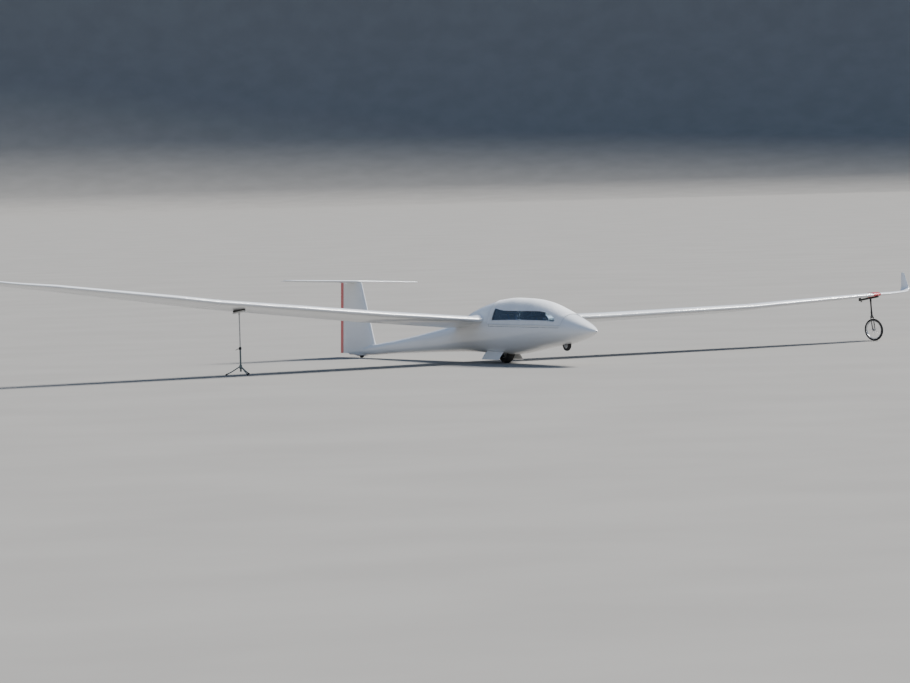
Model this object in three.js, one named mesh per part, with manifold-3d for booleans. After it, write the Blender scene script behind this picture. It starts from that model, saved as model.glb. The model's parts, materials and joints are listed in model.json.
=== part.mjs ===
// Two-seat training sailplane, parked: tail down on its main and tail wheels, the starboard wing on a
// tripod stand and the port wing on a clamp-on wing wheel, so that it leans a little to port.
// Millimetres, +X to port, +Y aft, +Z up. The airframe is drawn level, as if its wings were not
// leaning, and is then banked as a whole about the line through its two fuselage wheels. The ground is
// z = 0, and the origin is the middle of the footprint.
import * as THREE from 'three';
import { mergeVertices } from 'three/addons/utils/BufferGeometryUtils.js';
import Module from 'manifold-3d';

const wasm = await Module();
wasm.setup();

// Driving dimensions
const BANK = THREE.MathUtils.degToRad(2.6); // lean of the parked airframe to port
const GAP = 0.3; // between pieces that touch
const CLEAR = 6; // between pieces that move against each other
const SKIN = 20; // wall of the cockpit shell
const SILL_Z = 660; // lower edge of the canopy
const CANOPY = { front: 785, rear: 2945, frame: 30, band: 75, arch: 62 };
const COCKPIT = { front: 430, rear: 2985 };
const FACETS = 28;
const BOOM_END = 8262; // the boom stops short of the rudder

// Fuselage sections: station, top, bottom, half width, height of the widest point
const HULL = [
  { y: 0, top: 622, bottom: 600, half: 11, wide: 611 },
  { y: 18, top: 638, bottom: 588, half: 34, wide: 612 },
  { y: 60, top: 659, bottom: 570, half: 68, wide: 614 },
  { y: 160, top: 706, bottom: 534, half: 124, wide: 618 },
  { y: 370, top: 788, bottom: 472, half: 202, wide: 622 },
  { y: 830, top: 934, bottom: 372, half: 287, wide: 624 },
  { y: 1450, top: 1106, bottom: 296, half: 338, wide: 622 },
  { y: 2000, top: 1166, bottom: 212, half: 353, wide: 612 },
  { y: 2400, top: 1175, bottom: 170, half: 355, wide: 600 },
  { y: 2860, top: 1146, bottom: 155, half: 348, wide: 582 },
  { y: 3340, top: 1063, bottom: 170, half: 328, wide: 556 },
  { y: 3780, top: 944, bottom: 182, half: 296, wide: 520 },
  { y: 4100, top: 812, bottom: 182, half: 260, wide: 472 },
  { y: 4600, top: 662, bottom: 170, half: 208, wide: 408 },
  { y: 5130, top: 568, bottom: 155, half: 168, wide: 362 },
  { y: 5790, top: 464, bottom: 131, half: 141, wide: 310 },
  { y: 6650, top: 344, bottom: 97, half: 111, wide: 238 },
  { y: 7420, top: 258, bottom: 58, half: 84, wide: 160 },
  { y: 8270, top: 188, bottom: 46, half: 44, wide: 118 },
];
const POD_CUTS = [0, 8, 30, 70, 160, 300, 480, 680, 900, 1150, 1450, 1800, 2150, 2500, 2850, 3100, 3340, 3560,
  3780, 4000, 4300, 4600];
const BOOM_CUTS = [4600, 5130, 5790, 6650, 7420, BOOM_END];
const ROUNDNESS = 2.15; // exponent of the section's superellipse

// Wing sections: span, leading edge, chord, leading edge height, incidence in degrees
const WING = [
  { x: 400, le: 3170, chord: 1060, z: 772, angle: 8.6 },
  { x: 2400, le: 3147, chord: 990, z: 858, angle: 8.4 },
  { x: 4000, le: 3130, chord: 930, z: 949, angle: 8.2 },
  { x: 5750, le: 3179, chord: 825, z: 1048, angle: 8.0 },
  { x: 6500, le: 3200, chord: 780, z: 1113, angle: 7.9 },
  { x: 8800, le: 3420, chord: 560, z: 1293, angle: 7.6 },
  { x: 9400, le: 3590, chord: 430, z: 1327, angle: 7.5 },
  { x: 9700, le: 3690, chord: 360, z: 1352, angle: 7.5 },
];
const WING_ROOT = 400;
const WING_JOINT = 5750;
// Wing root fairing: span and how much thicker than the wing
const ROOT_FAIRING = [
  { x: 150, grow: 30 },
  { x: 300, grow: 18 },
  { x: 345, grow: 7 },
  { x: WING_ROOT, grow: 0 },
];
const WING_FORM = { thickness: 0.14, camber: 0.032, crest: 0.4, tail: 3 };
// Winglet sections: span, leading edge, chord, height, lean of the section from upright in degrees
const WINGLET = [
  { x: 9700, le: 3690, chord: 360, z: 1352, lean: 0, thickness: 0.14 },
  { x: 9850, le: 3760, chord: 315, z: 1372, lean: 18, thickness: 0.13 },
  { x: 9935, le: 3830, chord: 270, z: 1402, lean: 48, thickness: 0.12 },
  { x: 9968, le: 3880, chord: 236, z: 1452, lean: 76, thickness: 0.11 },
  { x: 9982, le: 3965, chord: 170, z: 1580, lean: 84, thickness: 0.1 },
  { x: 9996, le: 4055, chord: 100, z: 1720, lean: 84, thickness: 0.1 },
];

const AILERON = { inner: 5860, outer: 8640, y: [3850, 3879], slope: 7.8, lugs: [0.06, 0.5, 0.94] };
const BRAKE = { inner: 2650, outer: 3950, y: 3640, slope: 4.2, thick: 10, depth: 82, cap: 26, lip: 5, room: 6 };
const HINGE = { reach: 460, wall: 12 }; // how far a moving surface may reach, and the web before its nose
const HINGE_LUG = { width: 8, behind: 9, height: 22, slot: 20, slotEnd: 16, slotReach: 104, pin: 3.4, hole: 4.2,
  pinHalf: 14 };

// Fin sections: height, leading edge, trailing edge, thickness ratio
const FIN = [
  { z: 60, le: 7286, te: 8620, ratio: 0.1 },
  { z: 240, le: 7362, te: 8622, ratio: 0.105 },
  { z: 800, le: 7614, te: 8631, ratio: 0.115 },
  { z: 1426, le: 7895, te: 8641, ratio: 0.115 },
];
const FIN_TAIL = 4;
const RUDDER = { bottom: 68, top: 1414, y: [8318, 8394], stripe: 128, lugs: [0.1, 0.5, 0.9] };
// Tailplane sections: span, leading edge, chord, height of the leading edge
const TAILPLANE = [
  { x: -1462, le: 8215, chord: 200, z: 1440 },
  { x: -1400, le: 8125, chord: 304, z: 1442 },
  { x: -900, le: 8048, chord: 404, z: 1444 },
  { x: 0, le: 7978, chord: 502, z: 1446 },
  { x: 900, le: 8048, chord: 404, z: 1444 },
  { x: 1400, le: 8125, chord: 304, z: 1442 },
  { x: 1462, le: 8215, chord: 200, z: 1440 },
];
const TAILPLANE_FORM = { angle: 3.6, thickness: 0.105, tail: 3 };
const ELEVATOR = {
  y: 8342,
  half: 1392,
  nose: 13.5,
  roof: 1400,
  notch: [[-34, 8362], [34, 8362], [92, 8500], [-92, 8500]], // cut out in its middle, where the rudder swings
  lugs: [0.12, 0.36, 0.64, 0.88],
};

// Fuselage wheels, each with the open bay that it stands in
const MAIN = {
  y: 2860, z: 190, sides: 36, radius: 190, width: 150, rim: 78, axle: 12,
  bay: { half: 125, front: 2640, rear: 3290, top: 436 },
};
const NOSE = {
  y: 915, z: 356, sides: 24, radius: 105, width: 66, rim: 48, axle: 8,
  bay: { half: 44, front: 795, rear: 1035, top: 476 },
};
const TAIL = {
  y: 7850, z: 100, sides: 24, radius: 100, width: 50, rim: 42, axle: 8,
  bay: { half: 32, front: 7738, rear: 7962, top: 214 },
};
const DOOR = { front: 2705, rear: 3270, hinge: 142, top: 215, reach: 265, bottom: 57, thick: 8 };

const FORK = {
  inner: 90,
  outer: 102,
  crown: 412,
  crownHalf: 70,
  outline: [[-34, 158], [34, 158], [52, 300], [66, 412], [66, 435], [-66, 435], [-66, 412], [-52, 300]],
};
const FAIRING = { half: 54, length: 330, depth: 66, aft: 20, z: 92 };
const TYRE_SIDES = 10;

// Fitted cover: how far it stands out, where it ends, and its side window as [y, z]
const COVER = {
  proud: 7,
  trim: 12,
  hem: 702,
  window: [[2850, 762], [2040, 779], [1130, 776], [960, 764], [925, 790], [955, 830], [1110, 900], [1290, 938],
    [1450, 950], [2440, 948], [2850, 985]],
};
const NOSE_HOLE = { z: 610, radius: 10, depth: 70 };
// Seats, in the side view as [y, z]: the back is narrower over the sill, and the headrest narrower still
const SEAT = { back: 215, headrest: 110, sill: SILL_Z - 40 };
const SEATS = [
  {
    name: 'front_seat',
    neck: 880,
    outline: [[1140, 458], [1162, 492], [1500, 432], [1610, 440], [1880, 850], [1925, 985], [1950, 978],
      [1908, 840], [1632, 404], [1498, 398]],
  },
  {
    name: 'rear_seat',
    neck: 925,
    outline: [[2085, 520], [2107, 552], [2440, 496], [2550, 504], [2790, 890], [2836, 1030], [2861, 1023],
      [2820, 880], [2572, 470], [2438, 462]],
  },
];
const PANELS = [
  { name: 'front_instrument_panel', y: 1010, top: 828, half: 150, foot: 489 },
  { name: 'rear_instrument_panel', y: 2030, top: 935, half: 195, foot: 180 },
];
const BOARD = { thick: 36, height: 190 };
const HOOD = { wider: 12, front: 70, rear: 30, under: 4, over: 14 };
const PEDESTAL = { half: 60, front: 40, rear: 10, below: 20 };
const STICK = { radius: 9, rake: 30, grip: 16, gripLength: 102, gripFrom: 90 };
const STICKS = [
  { name: 'front_control_stick', y: 1092, foot: 320, top: 610 },
  { name: 'rear_control_stick', y: 2160, foot: 560, top: 700 },
];

const STAND = {
  x: -5115,
  y: 3650,
  pad: { length: 370, width: 62, height: 36, sunk: 8 },
  crossbar: { length: 394, width: 40, height: 22 },
  inner: { radius: 11, from: 290, socket: 20, socketLength: 36 },
  outer: { radius: 16, from: 60, to: 480 },
  clamp: { wall: 8, below: 30, above: 16 },
  lever: { out: -70, aft: 46, drop: 24, thick: 7, thin: 5 },
  hub: { z: 150, wall: 9, below: 40, above: 30 },
  legs: { headings: [147.4, 267.4, 27.4], radius: 10, knee: 146, kneeZ: 70, toe: 265, toeZ: 4, root: 14 },
};
// Wing wheel: the castor turns about an upright that leans a little, its wheel trails behind it
const OUTRIGGER = {
  x: 8870,
  y: 3665,
  lean: 3.4,
  heading: 197,
  trail: 28,
  tyre: { radius: 214, section: 20, sides: 10 },
  rim: { bed: 178, depth: 16, half: 14, innerHalf: 11 },
  hub: { radius: 20, half: 26 },
  spokes: { count: 12, radius: 3, root: 14, spread: 12, short: 8 },
  axle: { radius: 6, half: 50 },
  fork: { half: 38, thick: 8, wide: 24, crown: 232, crownHigh: 22, crownHalf: 42, crownFront: 16, crownRear: 22 },
  head: { bottom: 276, top: 350, stem: 12, tube: 20, post: 15 },
  shell: { length: 200, thick: 8, share: 0.36 },
  beam: { width: 46, height: 34, below: 22, centre: 0.52, share: 1.06 },
  hook: { behind: 12, drop: 16, thick: 18, height: 86 },
};

const COLOURS = {
  gelcoat: { color: 0xeef1f3, roughness: 0.25, metalness: 0 },
  red: { color: 0xc8323c, roughness: 0.35, metalness: 0 },
  clear: { color: 0x2a3a4a, roughness: 0.08, metalness: 0 },
  cloth: { color: 0xf2f3f2, roughness: 0.85, metalness: 0 },
  tyre: { color: 0x17181a, roughness: 0.9, metalness: 0 },
  alloy: { color: 0xa9adb1, roughness: 0.4, metalness: 0.9 },
  steel: { color: 0x7d8380, roughness: 0.45, metalness: 0.85 },
  grey: { color: 0x5d6763, roughness: 0.6, metalness: 0.1 },
  black: { color: 0x1b1c1e, roughness: 0.75, metalness: 0 },
  trim: { color: 0x3b4350, roughness: 0.9, metalness: 0 },
};

// Solids

function solidOf(geometry) {
  const bare = geometry.clone();
  bare.deleteAttribute('normal');
  bare.deleteAttribute('uv');
  const merged = mergeVertices(bare, 1e-3);
  const triVerts = new Uint32Array(merged.index.array);
  const vertProperties = new Float32Array(merged.attributes.position.array);
  const corner = (i) => new THREE.Vector3().fromArray(vertProperties, 3 * triVerts[i]);
  let volume = 0;
  for (let i = 0; i < triVerts.length; i += 3) volume += corner(i).dot(corner(i + 1).cross(corner(i + 2)));
  if (volume < 0) triVerts.reverse();
  return new wasm.Manifold(new wasm.Mesh({ numProp: 3, vertProperties, triVerts }));
}

function geometryOf(solid) {
  const mesh = solid.getMesh();
  const geometry = new THREE.BufferGeometry();
  geometry.setAttribute('position', new THREE.BufferAttribute(new Float32Array(mesh.vertProperties), 3));
  geometry.setIndex(new THREE.BufferAttribute(new Uint32Array(mesh.triVerts), 1));
  return geometry;
}

const point = (x, y, z) => new THREE.Vector3(x, y, z);
const radians = THREE.MathUtils.degToRad;

// A closed skin through rings of equal length, capped at both ends
function loft(rings) {
  const count = rings[0].length;
  const positions = rings.flat().flatMap((p) => [p.x, p.y, p.z]);
  const index = [];
  for (let i = 0; i < rings.length - 1; i += 1) {
    for (let j = 0; j < count; j += 1) {
      const a = i * count + j;
      const b = i * count + ((j + 1) % count);
      index.push(a, b, b + count, a, b + count, a + count);
    }
  }
  [[rings[0], 0, -1], [rings.at(-1), (rings.length - 1) * count, 1]].forEach(([ring, start, side]) => {
    const normal = new THREE.Vector3();
    ring.forEach((p, j) => normal.add(new THREE.Vector3().crossVectors(p, ring[(j + 1) % count])));
    normal.normalize();
    const across = point(0.31, 0.73, 0.61).cross(normal).normalize();
    const up = new THREE.Vector3().crossVectors(normal, across);
    const flat = ring.map((p) => new THREE.Vector2(p.dot(across), p.dot(up)));
    THREE.ShapeUtils.triangulateShape(flat, []).forEach(([a, b, c]) => {
      const turn = (flat[b].x - flat[a].x) * (flat[c].y - flat[a].y)
        - (flat[b].y - flat[a].y) * (flat[c].x - flat[a].x);
      if (turn * side > 0) index.push(start + a, start + b, start + c);
      else index.push(start + a, start + c, start + b);
    });
  });
  const geometry = new THREE.BufferGeometry();
  geometry.setAttribute('position', new THREE.Float32BufferAttribute(positions, 3));
  geometry.setIndex(index);
  return solidOf(geometry);
}

// A box between two corners
function block(x0, x1, y0, y1, z0, z1) {
  const geometry = new THREE.BoxGeometry(x1 - x0, y1 - y0, z1 - z0);
  return solidOf(geometry.translate((x0 + x1) / 2, (y0 + y1) / 2, (z0 + z1) / 2));
}

// A box with its length, width and height along three given directions, centred on a point
function bar(centre, along, across, length, width, height) {
  const up = new THREE.Vector3().crossVectors(along, across).normalize();
  const matrix = new THREE.Matrix4().makeBasis(along, across, up).setPosition(centre);
  return solidOf(new THREE.BoxGeometry(length, width, height).applyMatrix4(matrix));
}

// A round bar or cone between two points
function rod(from, to, radius, endRadius = radius, sides = 16) {
  const axis = to.clone().sub(from);
  const geometry = new THREE.CylinderGeometry(endRadius, radius, axis.length(), sides);
  const turn = new THREE.Quaternion().setFromUnitVectors(point(0, 1, 0), axis.clone().normalize());
  geometry.applyQuaternion(turn);
  return solidOf(geometry.translate(...from.clone().add(to).multiplyScalar(0.5).toArray()));
}

// A ring or disc turned about an axle along X: the profile holds [radius, offset along the axle]
function turned(profile, x, y, z, sides = 40) {
  const closed = [...profile, profile[0]].map(([radius, offset]) => new THREE.Vector2(radius, offset));
  const geometry = new THREE.LatheGeometry(closed, sides);
  return solidOf(geometry.rotateZ(-Math.PI / 2).translate(x, y, z));
}

// A plate cut to an outline in the side view: the outline holds [y, z]
function sidePlate(outline, x0, x1) {
  const shape = new THREE.Shape(outline.map(([y, z]) => new THREE.Vector2(y, z)));
  const geometry = new THREE.ExtrudeGeometry(shape, { depth: x1 - x0, bevelEnabled: false });
  geometry.applyMatrix4(new THREE.Matrix4().makeBasis(point(0, 1, 0), point(0, 0, 1), point(1, 0, 0)));
  return solidOf(geometry.translate(x0, 0, 0));
}

// A plate cut to an outline in the plan view: the outline holds [x, y]
function planPlate(outline, z0, z1) {
  const shape = new THREE.Shape(outline.map(([x, y]) => new THREE.Vector2(x, y)));
  const geometry = new THREE.ExtrudeGeometry(shape, { depth: z1 - z0, bevelEnabled: false });
  return solidOf(geometry.translate(0, 0, z0));
}

const join = (...solids) => solids.reduce((sum, solid) => sum.add(solid));
const cut = (solid, ...tools) => tools.reduce((rest, tool) => rest.subtract(tool), solid);

// Fuselage form

// Monotone curve through one column of a table
function along(table, key, column, at) {
  const last = table.length - 1;
  const slope = (i) => (table[i + 1][column] - table[i][column]) / (table[i + 1][key] - table[i][key]);
  const tangent = (i) => {
    if (i === 0 || i === last) return slope(Math.min(i, last - 1));
    const [before, after] = [slope(i - 1), slope(i)];
    return before * after <= 0 ? 0 : (2 * before * after) / (before + after);
  };
  let i = 0;
  while (i < last - 1 && at > table[i + 1][key]) i += 1;
  const width = table[i + 1][key] - table[i][key];
  const t = Math.min(Math.max((at - table[i][key]) / width, 0), 1);
  return (1 + 2 * t) * (1 - t) ** 2 * table[i][column]
    + t * (1 - t) ** 2 * width * tangent(i)
    + t * t * (3 - 2 * t) * table[i + 1][column]
    + t * t * (t - 1) * width * tangent(i + 1);
}

// One fuselage section, moved in by an inset (out when negative)
function hullRing(y, inset = 0) {
  const [top, bottom, half, wide] = ['top', 'bottom', 'half', 'wide'].map((name) => along(HULL, 'y', name, y));
  const shrink = (size) => Math.max(size - inset, 4);
  return Array.from({ length: FACETS }, (_, k) => {
    const turn = (2 * Math.PI * k) / FACETS;
    const [cos, sin] = [Math.cos(turn), Math.sin(turn)];
    const height = sin > 0 ? shrink(top - wide) : shrink(wide - bottom);
    return point(
      shrink(half) * Math.sign(cos) * Math.abs(cos) ** (2 / ROUNDNESS),
      y,
      wide + height * Math.sign(sin) * Math.abs(sin) ** (2 / ROUNDNESS),
    );
  });
}

const hullSolid = (cuts, inset = 0) => loft(cuts.map((y) => hullRing(y, inset)));

// Aerofoil form

// Half the thickness of an aerofoil and the height of its middle line, as parts of the chord
const halfThickness = (thickness, u) => 5 * thickness * (0.2969 * Math.sqrt(u) - 0.126 * u - 0.3516 * u ** 2
  + 0.2843 * u ** 3 - 0.1036 * u ** 4);
const middleLine = (camber, crest, u) => (u < crest ? (camber / crest ** 2) * (2 * crest * u - u * u)
  : (camber / (1 - crest) ** 2) * (1 - 2 * crest + 2 * crest * u - u * u));

// An aerofoil outline: pairs of distance behind the leading edge and height, as parts of the chord
function aerofoil(thickness, camber, crest, tail, steps = 11) {
  const side = (sign) => Array.from({ length: steps }, (_, k) => {
    const u = 1 - Math.cos((Math.PI / 2) * ((steps - k) / steps));
    return [u, middleLine(camber, crest, u) + sign * (halfThickness(thickness, u) + (tail / 2) * u)];
  });
  return [...side(1), [0, 0], ...side(-1).reverse()];
}

// A straight line through one column of a table
function between(table, column, x) {
  const last = table.length - 2;
  let i = 0;
  while (i < last && x > table[i + 1].x) i += 1;
  const t = (x - table[i].x) / (table[i + 1].x - table[i].x);
  return THREE.MathUtils.lerp(table[i][column], table[i + 1][column], t);
}

const wingAt = (x) => Object.fromEntries(
  ['le', 'chord', 'z', 'angle'].map((name) => [name, between(WING, name, x)]),
);

// A point of the wing at a span, a distance behind the leading edge and a height over the chord line
function wingPoint(side, x, back, over) {
  const { le, z, angle } = wingAt(x);
  const [cos, sin] = [Math.cos(radians(angle)), Math.sin(radians(angle))];
  return point(side * x, le + back * cos + over * sin, z - back * sin + over * cos);
}

// One wing section; grow thickens it about its own outline for fairings and shells
function wingRing(side, x, grow = 0) {
  const { chord } = wingAt(x);
  const { thickness, camber, crest, tail } = WING_FORM;
  return aerofoil(thickness + (2 * grow) / chord, camber, crest, tail / chord).map(([u, v]) => (
    wingPoint(side, x, u * chord * (1 + (2 * grow) / chord) - grow, v * chord)
  ));
}

const wingSolid = (side, spans, grow = 0) => loft(spans.map((x) => wingRing(side, x, grow)));

// Height of the wing's middle line at a fraction of the chord, and half its thickness there
function wingMiddle(x, u) {
  const { chord } = wingAt(x);
  const { thickness, camber, crest } = WING_FORM;
  return { bow: middleLine(camber, crest, u) * chord, half: halfThickness(thickness, u) * chord };
}

// Splits a surface at a hinge line into the fixed part and the moving part.
// The moving part has a round nose on the hinge line and pins; the fixed part has a cove and lugs.
function splitAtHinge(solid, from, to, aft, radii, lugs) {
  const { reach, wall } = HINGE;
  const axis = to.clone().sub(from);
  const length = axis.length();
  axis.normalize();
  const back = aft.clone().addScaledVector(axis, -aft.dot(axis)).normalize();
  const at = (t, behind = 0) => from.clone().addScaledVector(axis, t * length).addScaledVector(back, behind);
  const behindHinge = (inset) => bar(at(0.5, reach / 2), axis, back, length - 2 * inset, reach, reach);
  const nose = (t0, t1, extra) => rod(at(t0), at(t1), radii[0] + extra, radii[1] + extra, 20);
  const end = CLEAR / length;
  const lug = HINGE_LUG;
  let moving = join(solid.intersect(behindHinge(CLEAR)), nose(end, 1 - end, 0).intersect(solid));
  let fixed = cut(solid, behindHinge(0), nose(0, 1, CLEAR + 1));
  lugs.forEach((t) => {
    const radius = THREE.MathUtils.lerp(radii[0], radii[1], t);
    const depth = radius + CLEAR + wall;
    const height = Math.min(2 * radius - 2 * CLEAR, lug.height);
    const plate = bar(at(t, (lug.behind - depth) / 2), axis, back, lug.width, depth + lug.behind, height);
    const round = (size) => rod(at(t - lug.pinHalf / length), at(t + lug.pinHalf / length), size, size, 8);
    const slot = bar(
      at(t, lug.slotEnd - lug.slotReach / 2), axis, back, lug.slot, lug.slotReach, 3 * radius + lug.slotReach,
    );
    moving = join(cut(moving, slot), round(lug.pin));
    fixed = join(fixed, cut(plate.intersect(solid), round(lug.hole)));
  });
  return { moving, fixed };
}

// Naming and placing

const airframe = new THREE.Group();
airframe.name = 'airframe';
airframe.rotation.y = BANK;
const ground = new THREE.Group();
ground.name = 'ground_handling';

function piece(name, solid, finish, parent = airframe) {
  const mesh = new THREE.Mesh(geometryOf(solid), new THREE.MeshStandardMaterial(COLOURS[finish]));
  mesh.name = name;
  parent.add(mesh);
  return mesh;
}

// Fuselage

const wingStubs = [1, -1].map((side) => loft(ROOT_FAIRING.map(({ x, grow }) => {
  const { chord } = wingAt(WING_ROOT);
  const { thickness, camber, crest, tail } = WING_FORM;
  return aerofoil(thickness + (2 * grow) / chord, camber, crest, tail / chord).map(([u, v]) => {
    const flat = wingPoint(side, WING_ROOT, u * chord, v * chord);
    return point(side * Math.min(x, WING_ROOT - GAP), flat.y, flat.z);
  });
})));

const bayBox = ({ half, front, rear, top }, grow = 0) => (
  block(-half - grow, half + grow, front - grow, rear + grow, -50, top + grow)
);

function buildPod() {
  const outer = hullSolid(POD_CUTS);
  const inner = hullSolid(POD_CUTS.slice(4), SKIN);
  const cavity = cut(
    inner.intersect(block(-500, 500, COCKPIT.front, COCKPIT.rear, 0, 1400)),
    bayBox(MAIN.bay, SKIN),
    bayBox(NOSE.bay, 12),
  );
  const lid = block(-500, 500, CANOPY.front - 5, CANOPY.rear + 5, SILL_Z - 5, 1400);
  const noseHole = rod(point(0, -20, NOSE_HOLE.z), point(0, NOSE_HOLE.depth, NOSE_HOLE.z), NOSE_HOLE.radius);
  return cut(join(outer, ...wingStubs), cavity, lid, bayBox(MAIN.bay), bayBox(NOSE.bay), noseHole);
}
piece('fuselage_pod', buildPod(), 'gelcoat');

const boomFront = block(-300, 300, BOOM_CUTS[0] - 100, BOOM_CUTS[0] + GAP, 0, 900);
piece('tail_boom', cut(hullSolid(BOOM_CUTS), boomFront, bayBox(TAIL.bay)), 'gelcoat');

// Fin, rudder and tailplane

const TAIL_CREST = 0.4; // of the tail's aerofoils, which have no camber

function finRing({ z, le, te, ratio }) {
  const chord = te - le;
  return aerofoil(ratio, 0, TAIL_CREST, FIN_TAIL / chord).map(([u, v]) => point(v * chord, le + u * chord, z));
}

// Half the fin's thickness at a height and a station
function finHalf(z, y) {
  const rows = FIN.map((row) => ({ ...row, x: row.z }));
  const [le, te, ratio] = ['le', 'te', 'ratio'].map((name) => between(rows, name, z));
  return halfThickness(ratio, (y - le) / (te - le)) * (te - le);
}

// One tailplane section; grow thickens it
function tailplaneRing({ x, le, chord, z }, grow = 0) {
  const { thickness, tail } = TAILPLANE_FORM;
  const [cos, sin] = [Math.cos(radians(TAILPLANE_FORM.angle)), Math.sin(radians(TAILPLANE_FORM.angle))];
  return aerofoil(thickness + (2 * grow) / chord, 0, TAIL_CREST, tail / chord).map(([u, v]) => (
    point(x, le + u * chord * cos + v * chord * sin, z - u * chord * sin + v * chord * cos)
  ));
}

const finBlank = loft(FIN.map(finRing));
const tailplaneBlank = loft(TAILPLANE.map((row) => tailplaneRing(row)));
const tailplaneClear = loft(TAILPLANE.map((row) => tailplaneRing(row, 2 * GAP)));
const rudderFrom = point(0, RUDDER.y[0], RUDDER.bottom);
const rudderTo = point(0, RUDDER.y[1], RUDDER.top);
const rudderSplit = splitAtHinge(
  finBlank,
  rudderFrom,
  rudderTo,
  point(0, 1, 0),
  [finHalf(RUDDER.bottom + 20, RUDDER.y[0]), finHalf(RUDDER.top, RUDDER.y[1])],
  RUDDER.lugs,
);
const boomSaddle = hullSolid(BOOM_CUTS, -GAP);
piece('fin', cut(
  rudderSplit.fixed,
  boomSaddle,
  tailplaneClear,
  block(-200, 200, 7000, 9000, -100, 100),
  block(-200, 200, RUDDER.y[1] - 12, 9000, RUDDER.top - 60, 2000),
  block(-200, 200, ELEVATOR.y - 24, 9000, ELEVATOR.roof, 2000),
  bayBox(TAIL.bay),
), 'gelcoat');
const edgeLine = point(0, FIN.at(-1).te - FIN[0].te, FIN.at(-1).z - FIN[0].z).normalize();
const stripeBlock = (gap) => bar(
  point(0, FIN[2].te - RUDDER.stripe + 400 - gap, FIN[2].z),
  edgeLine,
  point(0, edgeLine.z, -edgeLine.y),
  2400,
  800,
  400,
);
piece('rudder', cut(rudderSplit.moving, stripeBlock(GAP)), 'gelcoat');
piece('rudder_red_trailing_edge', rudderSplit.moving.intersect(stripeBlock(0)), 'red');

// The elevator's hinge line is straight, midway between the middle heights at its ends and its centre
const tailplaneFall = Math.tan(radians(TAILPLANE_FORM.angle));
const [elevatorEndZ, elevatorCentreZ] = [ELEVATOR.half, 0].map((x) => (
  between(TAILPLANE, 'z', x) - (ELEVATOR.y - between(TAILPLANE, 'le', x)) * tailplaneFall
));
const elevatorZ = (elevatorEndZ + elevatorCentreZ) / 2;
const elevatorSplit = splitAtHinge(
  tailplaneBlank,
  point(-ELEVATOR.half, ELEVATOR.y, elevatorZ),
  point(ELEVATOR.half, ELEVATOR.y, elevatorZ),
  point(0, 1, -tailplaneFall),
  [ELEVATOR.nose, ELEVATOR.nose],
  ELEVATOR.lugs,
);
piece('tailplane', elevatorSplit.fixed, 'gelcoat');
piece('elevator', cut(elevatorSplit.moving, planPlate(ELEVATOR.notch, 1300, 1600)), 'gelcoat');

// Wings, with their airbrakes and ailerons

function brakeFrame(side) {
  const ends = [BRAKE.inner, BRAKE.outer].map((x) => {
    const { le, chord, angle } = wingAt(x);
    const back = (BRAKE.y - le) / Math.cos(radians(angle));
    const { bow, half } = wingMiddle(x, back / chord);
    return wingPoint(side, x, back, bow + half);
  });
  const spanwise = ends[1].clone().sub(ends[0]);
  const length = spanwise.length();
  spanwise.normalize();
  const { angle } = wingAt((BRAKE.inner + BRAKE.outer) / 2);
  const slope = angle + BRAKE.slope;
  const aft = point(0, Math.cos(radians(slope)), -Math.sin(radians(slope)));
  aft.addScaledVector(spanwise, -aft.dot(spanwise)).normalize();
  const up = spanwise.clone().cross(aft).multiplyScalar(side).normalize();
  const centre = ends[0].clone().add(ends[1]).multiplyScalar(0.5);
  const slab = (length0, width, top, bottom) => bar(
    centre.clone().addScaledVector(up, (top + bottom) / 2), spanwise, aft, length0, width, top - bottom,
  );
  return { slab, up, length };
}

function buildWing(side, label) {
  const spans = WING.map(({ x }) => x);
  const brake = brakeFrame(side);
  const innerBlank = wingSolid(side, [WING_ROOT, ...spans.slice(1, 4)]);
  const { room } = BRAKE;
  const inner = cut(
    innerBlank,
    brake.slab(brake.length + 2 * room, BRAKE.cap + 2 * room, 40, -BRAKE.lip - room),
    brake.slab(brake.length + 2, BRAKE.thick + 2 * room, 0, -BRAKE.depth - room),
  );
  piece(`wing_inner_${label}`, inner, 'gelcoat');
  const blade = join(
    brake.slab(brake.length, BRAKE.cap, -0.5, -BRAKE.lip),
    brake.slab(brake.length - 10, BRAKE.thick, -1, -BRAKE.depth),
  );
  piece(`airbrake_${label}`, blade, 'gelcoat');

  const outerBlank = wingSolid(side, [WING_JOINT + GAP, ...spans.slice(4)]);
  const hinge = [0, 1].map((k) => {
    const x = [AILERON.inner, AILERON.outer][k];
    const { le, chord, angle } = wingAt(x);
    const back = (AILERON.y[k] - le) / Math.cos(radians(angle));
    const { bow, half } = wingMiddle(x, back / chord);
    return { at: wingPoint(side, x, back, bow), half };
  });
  const aileron = splitAtHinge(
    outerBlank,
    hinge[0].at,
    hinge[1].at,
    point(0, 1, -Math.tan(radians(AILERON.slope))),
    [hinge[0].half, hinge[1].half - 1],
    AILERON.lugs,
  );
  piece(`wing_outer_${label}`, aileron.fixed, 'gelcoat');
  piece(`aileron_${label}`, aileron.moving, 'gelcoat');

  const tip = loft(WINGLET.map(({ x, le, chord, z, lean, thickness }, k) => {
    const [lie, stand] = [Math.cos(radians(lean)), Math.sin(radians(lean))];
    const pitch = radians(WING.at(-1).angle * lie);
    return aerofoil(thickness, WING_FORM.camber, WING_FORM.crest, WING_FORM.tail / chord).map(([u, v]) => point(
      side * (x + (k === 0 ? GAP : 0) - v * chord * stand),
      le + u * chord * Math.cos(pitch) + v * chord * lie * Math.sin(pitch),
      z - u * chord * Math.sin(pitch) + v * chord * lie * Math.cos(pitch),
    ));
  }));
  piece(`winglet_${label}`, tip, 'gelcoat');
}
buildWing(1, 'port');
buildWing(-1, 'starboard');

// Canopy: a rim with the bubble in it, under a fitted cloth cover with side windows

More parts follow.
